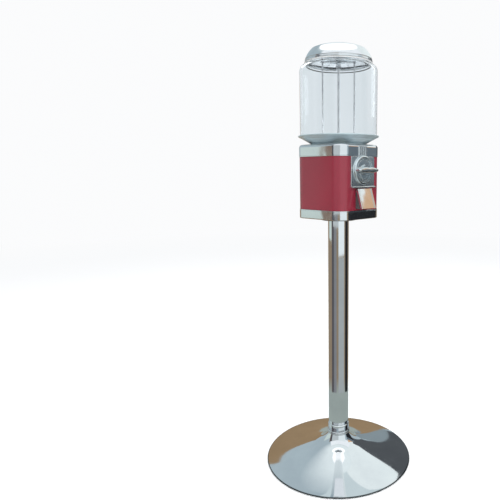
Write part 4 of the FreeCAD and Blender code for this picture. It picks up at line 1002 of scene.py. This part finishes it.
def floor():
    """A pale disc that fades into the surroundings; reflections see it glowing brown, a painted reflection of
    a floor.
    """
    steps, reach = 96, 30
    rim = [(x, y, 0) for x, y in round_outline(reach, steps)]
    s = Shader("floor", Roughness=0.9, Specular_IOR_Level=0.1)
    tone = s.blend(s.spread(s.noise(1.2, 3), 0, 1), (0.92, 0.93, 0.94), (0.93, 0.94, 0.95))
    s.done(tone)
    path = s.add("ShaderNodeLightPath")
    direct = s.math("SUBTRACT", 1.0, path.outputs["Is Glossy Ray"])
    through = s.math("MAXIMUM", direct, path.outputs["Is Transmission Ray"])
    distance = s.radial_distance()
    haze = s.add("ShaderNodeEmission")
    s.feed(haze, "Color", (*BACKDROP, 1))
    faded = s.add("ShaderNodeMixShader")
    s.join(s.spread(distance, 0, 1, 0.9, 5.5), faded.inputs[0])
    s.join(s.bsdf.outputs[0], faded.inputs[1])
    s.join(haze.outputs[0], faded.inputs[2])
    # painted reflection: reflections see the floor glow grey-green near the machine and brown further out
    floor_reflection_glow = s.blend(s.spread(distance, 0, 1, 0.42, 0.55), (0.36, 0.42, 0.40), (0.30, 0.24, 0.17))
    glow(s, floor_reflection_glow, through, faded.outputs[0])
    stage_mesh("floor", rim, [list(range(steps))], s.material)


def hide_from_all_but_reflections(thing):
    for ray in ("camera", "diffuse", "shadow", "volume_scatter"):
        setattr(thing, "visible_" + ray, False)


def card(name, first, last, bottom, top, distance, colour):
    """A curved glowing card that only reflections show, with a wedge on the floor if it stands there.

    first and last are the bearings of its ends from +X in degrees. top is one height, or one for each end.
    """
    steps = 16
    tops = top if isinstance(top, tuple) else (top, top)
    vertices = []
    for k in range(steps + 1):
        share = k / steps
        a = math.radians(first + (last - first) * share)
        profile = [(distance, bottom), (distance, tops[0] + (tops[1] - tops[0]) * share)]
        if bottom == 0:
            profile.insert(0, (0.42, 0.001))
        vertices += [(r * math.cos(a), r * math.sin(a), level) for r, level in profile]
    rows = len(profile)
    faces = [
        (rows * k + j, rows * (k + 1) + j, rows * (k + 1) + j + 1, rows * k + j + 1)
        for k in range(steps) for j in range(rows - 1)
    ]
    s = Shader(name)
    # light that has come through the globe passes the card
    passing = s.add("ShaderNodeLightPath").outputs["Is Transmission Ray"]
    glow(s, colour, passing, s.add("ShaderNodeBsdfTransparent").outputs[0])
    hide_from_all_but_reflections(stage_mesh(name, vertices, faces, s.material))


def canopy():
    """A round glowing panel over the machine that only reflections show."""
    reach, level, steps = 0.46, 1.7, 48
    rim = [(x, y, level) for x, y in round_outline(reach, steps)]
    s = Shader("canopy")
    passing = s.add("ShaderNodeLightPath").outputs["Is Transmission Ray"]
    glow(s, (1.3, 1.34, 1.36), passing, s.add("ShaderNodeBsdfTransparent").outputs[0])
    hide_from_all_but_reflections(stage_mesh("canopy", rim, [list(range(steps))], s.material))


def light(name, place, target, size, power):
    data = bpy.data.lights.new(name, "AREA")
    data.shape = "RECTANGLE"
    data.size, data.size_y = size
    data.energy = power
    lamp = bpy.data.objects.new(name, data)
    bpy.context.scene.collection.objects.link(lamp)
    lamp.location = place
    lamp.rotation_euler = (Vector(target) - Vector(place)).to_track_quat("-Z", "Y").to_euler()
    lamp.visible_glossy = False


def surroundings():
    """Soft even light from all sides. Reflections show a cool grey room, paler overhead."""
    world = bpy.data.worlds.new("studio")
    world.use_nodes = True
    bpy.context.scene.world = world
    nodes, links = world.node_tree.nodes, world.node_tree.links
    path = nodes.new("ShaderNodeLightPath")

    def background(colour):
        node = nodes.new("ShaderNodeBackground")
        node.inputs["Color"].default_value = (*colour, 1)
        return node

    def mixed(factor, first, second):
        node = nodes.new("ShaderNodeMixShader")
        links.new(factor, node.inputs[0])
        links.new(first.outputs[0], node.inputs[1])
        links.new(second.outputs[0], node.inputs[2])
        return node

    seen, diffuse = background(BACKDROP), background((0.95, 0.96, 0.97))
    room = background((1, 1, 1))
    height = nodes.new("ShaderNodeSeparateXYZ")
    links.new(nodes.new("ShaderNodeTexCoord").outputs["Generated"], height.inputs[0])
    ramp = nodes.new("ShaderNodeValToRGB")
    links.new(height.outputs["Z"], ramp.inputs[0])
    ramp.color_ramp.elements[0].position = 0.74
    ramp.color_ramp.elements[0].color = (0.44, 0.54, 0.59, 1)
    ramp.color_ramp.elements[1].position = 0.92
    ramp.color_ramp.elements[1].color = (0.88, 0.98, 1.0, 1)
    links.new(ramp.outputs[0], room.inputs["Color"])
    glossy = nodes.new("ShaderNodeMath")
    glossy.operation = "SUBTRACT"
    glossy.use_clamp = True
    links.new(path.outputs["Is Glossy Ray"], glossy.inputs[0])
    links.new(path.outputs["Is Transmission Ray"], glossy.inputs[1])
    lit = mixed(path.outputs["Is Diffuse Ray"], seen, diffuse)
    final = mixed(glossy.outputs[0], lit, room)
    links.new(final.outputs[0], nodes["World Output"].inputs["Surface"])


def camera():
    """At the handle's height before the machine's left corner, looking a little down."""
    heading, pitch = math.radians(-48), math.radians(9.51)
    height, distance = 0.805, 1.305
    data = bpy.data.cameras.new("camera")
    data.sensor_width = 36
    data.lens = 35.0
    data.shift_x, data.shift_y = -0.177, 0.0104
    data.clip_start, data.clip_end = 0.05, 60
    thing = bpy.data.objects.new("camera", data)
    bpy.context.scene.collection.objects.link(thing)
    thing.location = (math.sin(heading) * distance, -math.cos(heading) * distance, height)
    thing.rotation_euler = (math.pi / 2 - pitch, 0, heading)
    bpy.context.scene.camera = thing
    bpy.context.scene.view_settings.view_transform = "Standard"


for make in (base_shell, base_collar, post_coupling, post_tube, bottom_casting, body_wrap, top_casting,
             hopper_dish, globe, lid, lock, rods, mech_plate, handle, chute_flap,
             fasteners, dispensing_wheel, floor, canopy, surroundings, camera):
    make()
gasket("globe_gasket", 0.5)
gasket("lid_gasket", 1.0)
bridge("upper_bridge", 8.5, 47)
bridge("lower_bridge", 6.5, 63.5)

CARDS = (      # name, bearings of its ends, bottom, top, distance, colour
    ("white_wall", -138, -72, 0.25, 2.6, 2.4, (0.88, 0.97, 1.0)),
    ("white_mat", -138, -72, 0, 0.25, 2.3, (0.40, 0.44, 0.45)),
    ("ceiling", 150, 340, 2.0, 4.6, 2.5, (1.0, 1.06, 1.1)),
    ("pale_wall", 100, 139.5, 0.36, 1.3, 2.4, (0.64, 0.76, 0.73)),
    ("tan_edge", 139.5, 144, 0, 2.2, 2.3, (0.25, 0.18, 0.14)),
    ("dark_door", 144, 160, 0, 2.2, 2.3, (0.10, 0.10, 0.11)),
    ("dark_shelf", 160, 172, 0, 0.5, 2.3, (0.12, 0.12, 0.13)),
    ("grey_shelf", 172, 200, 0, 0.5, 2.3, (0.24, 0.25, 0.27)),
    ("pale_door", 160, 222, 0.5, 2.4, 2.35, (0.56, 0.62, 0.64)),
    ("black_bench", -58, -13, 0, 0.76, 1.6, (0.02, 0.022, 0.025)),
    ("dark_case", -58, -13, 0.76, 1.05, 1.6, (0.15, 0.19, 0.22)),
    ("tan_box", -52, -22, 1.05, (1.50, 1.07), 1.6, (0.72, 0.47, 0.29)),
    ("white_box", -52, -22, 1.05, 1.7, 1.64, (0.92, 1.0, 1.0)),
    ("charcoal_shelf", -22, 28, 0.6, 1.8, 2.2, (0.09, 0.10, 0.11)),
    ("wood_wall", 29, 67, 0, (1.2, 1.5), 2.2, (0.34, 0.24, 0.14)),
    ("blue_bin", 20, 29, 0, 0.66, 2.15, (0.26, 0.32, 0.35)),
    ("pale_blind", 28, 48, 1.8, 5.0, 2.2, (0.66, 0.77, 0.8)),
    ("window", -40, 28, 1.8, 5.0, 2.2, (0.90, 0.99, 1.0)),
)
for row in CARDS:
    card(*row)
light("key", (-1.6, -2.2, 2.6), (0, 0, 0.7), (1.6, 1.2), 48)
light("fill", (2.4, -0.6, 2.0), (0, 0, 0.7), (1.2, 1.6), 22)
light("back", (0.4, 2.4, 2.4), (0, 0, 0.8), (2.0, 1.0), 15)
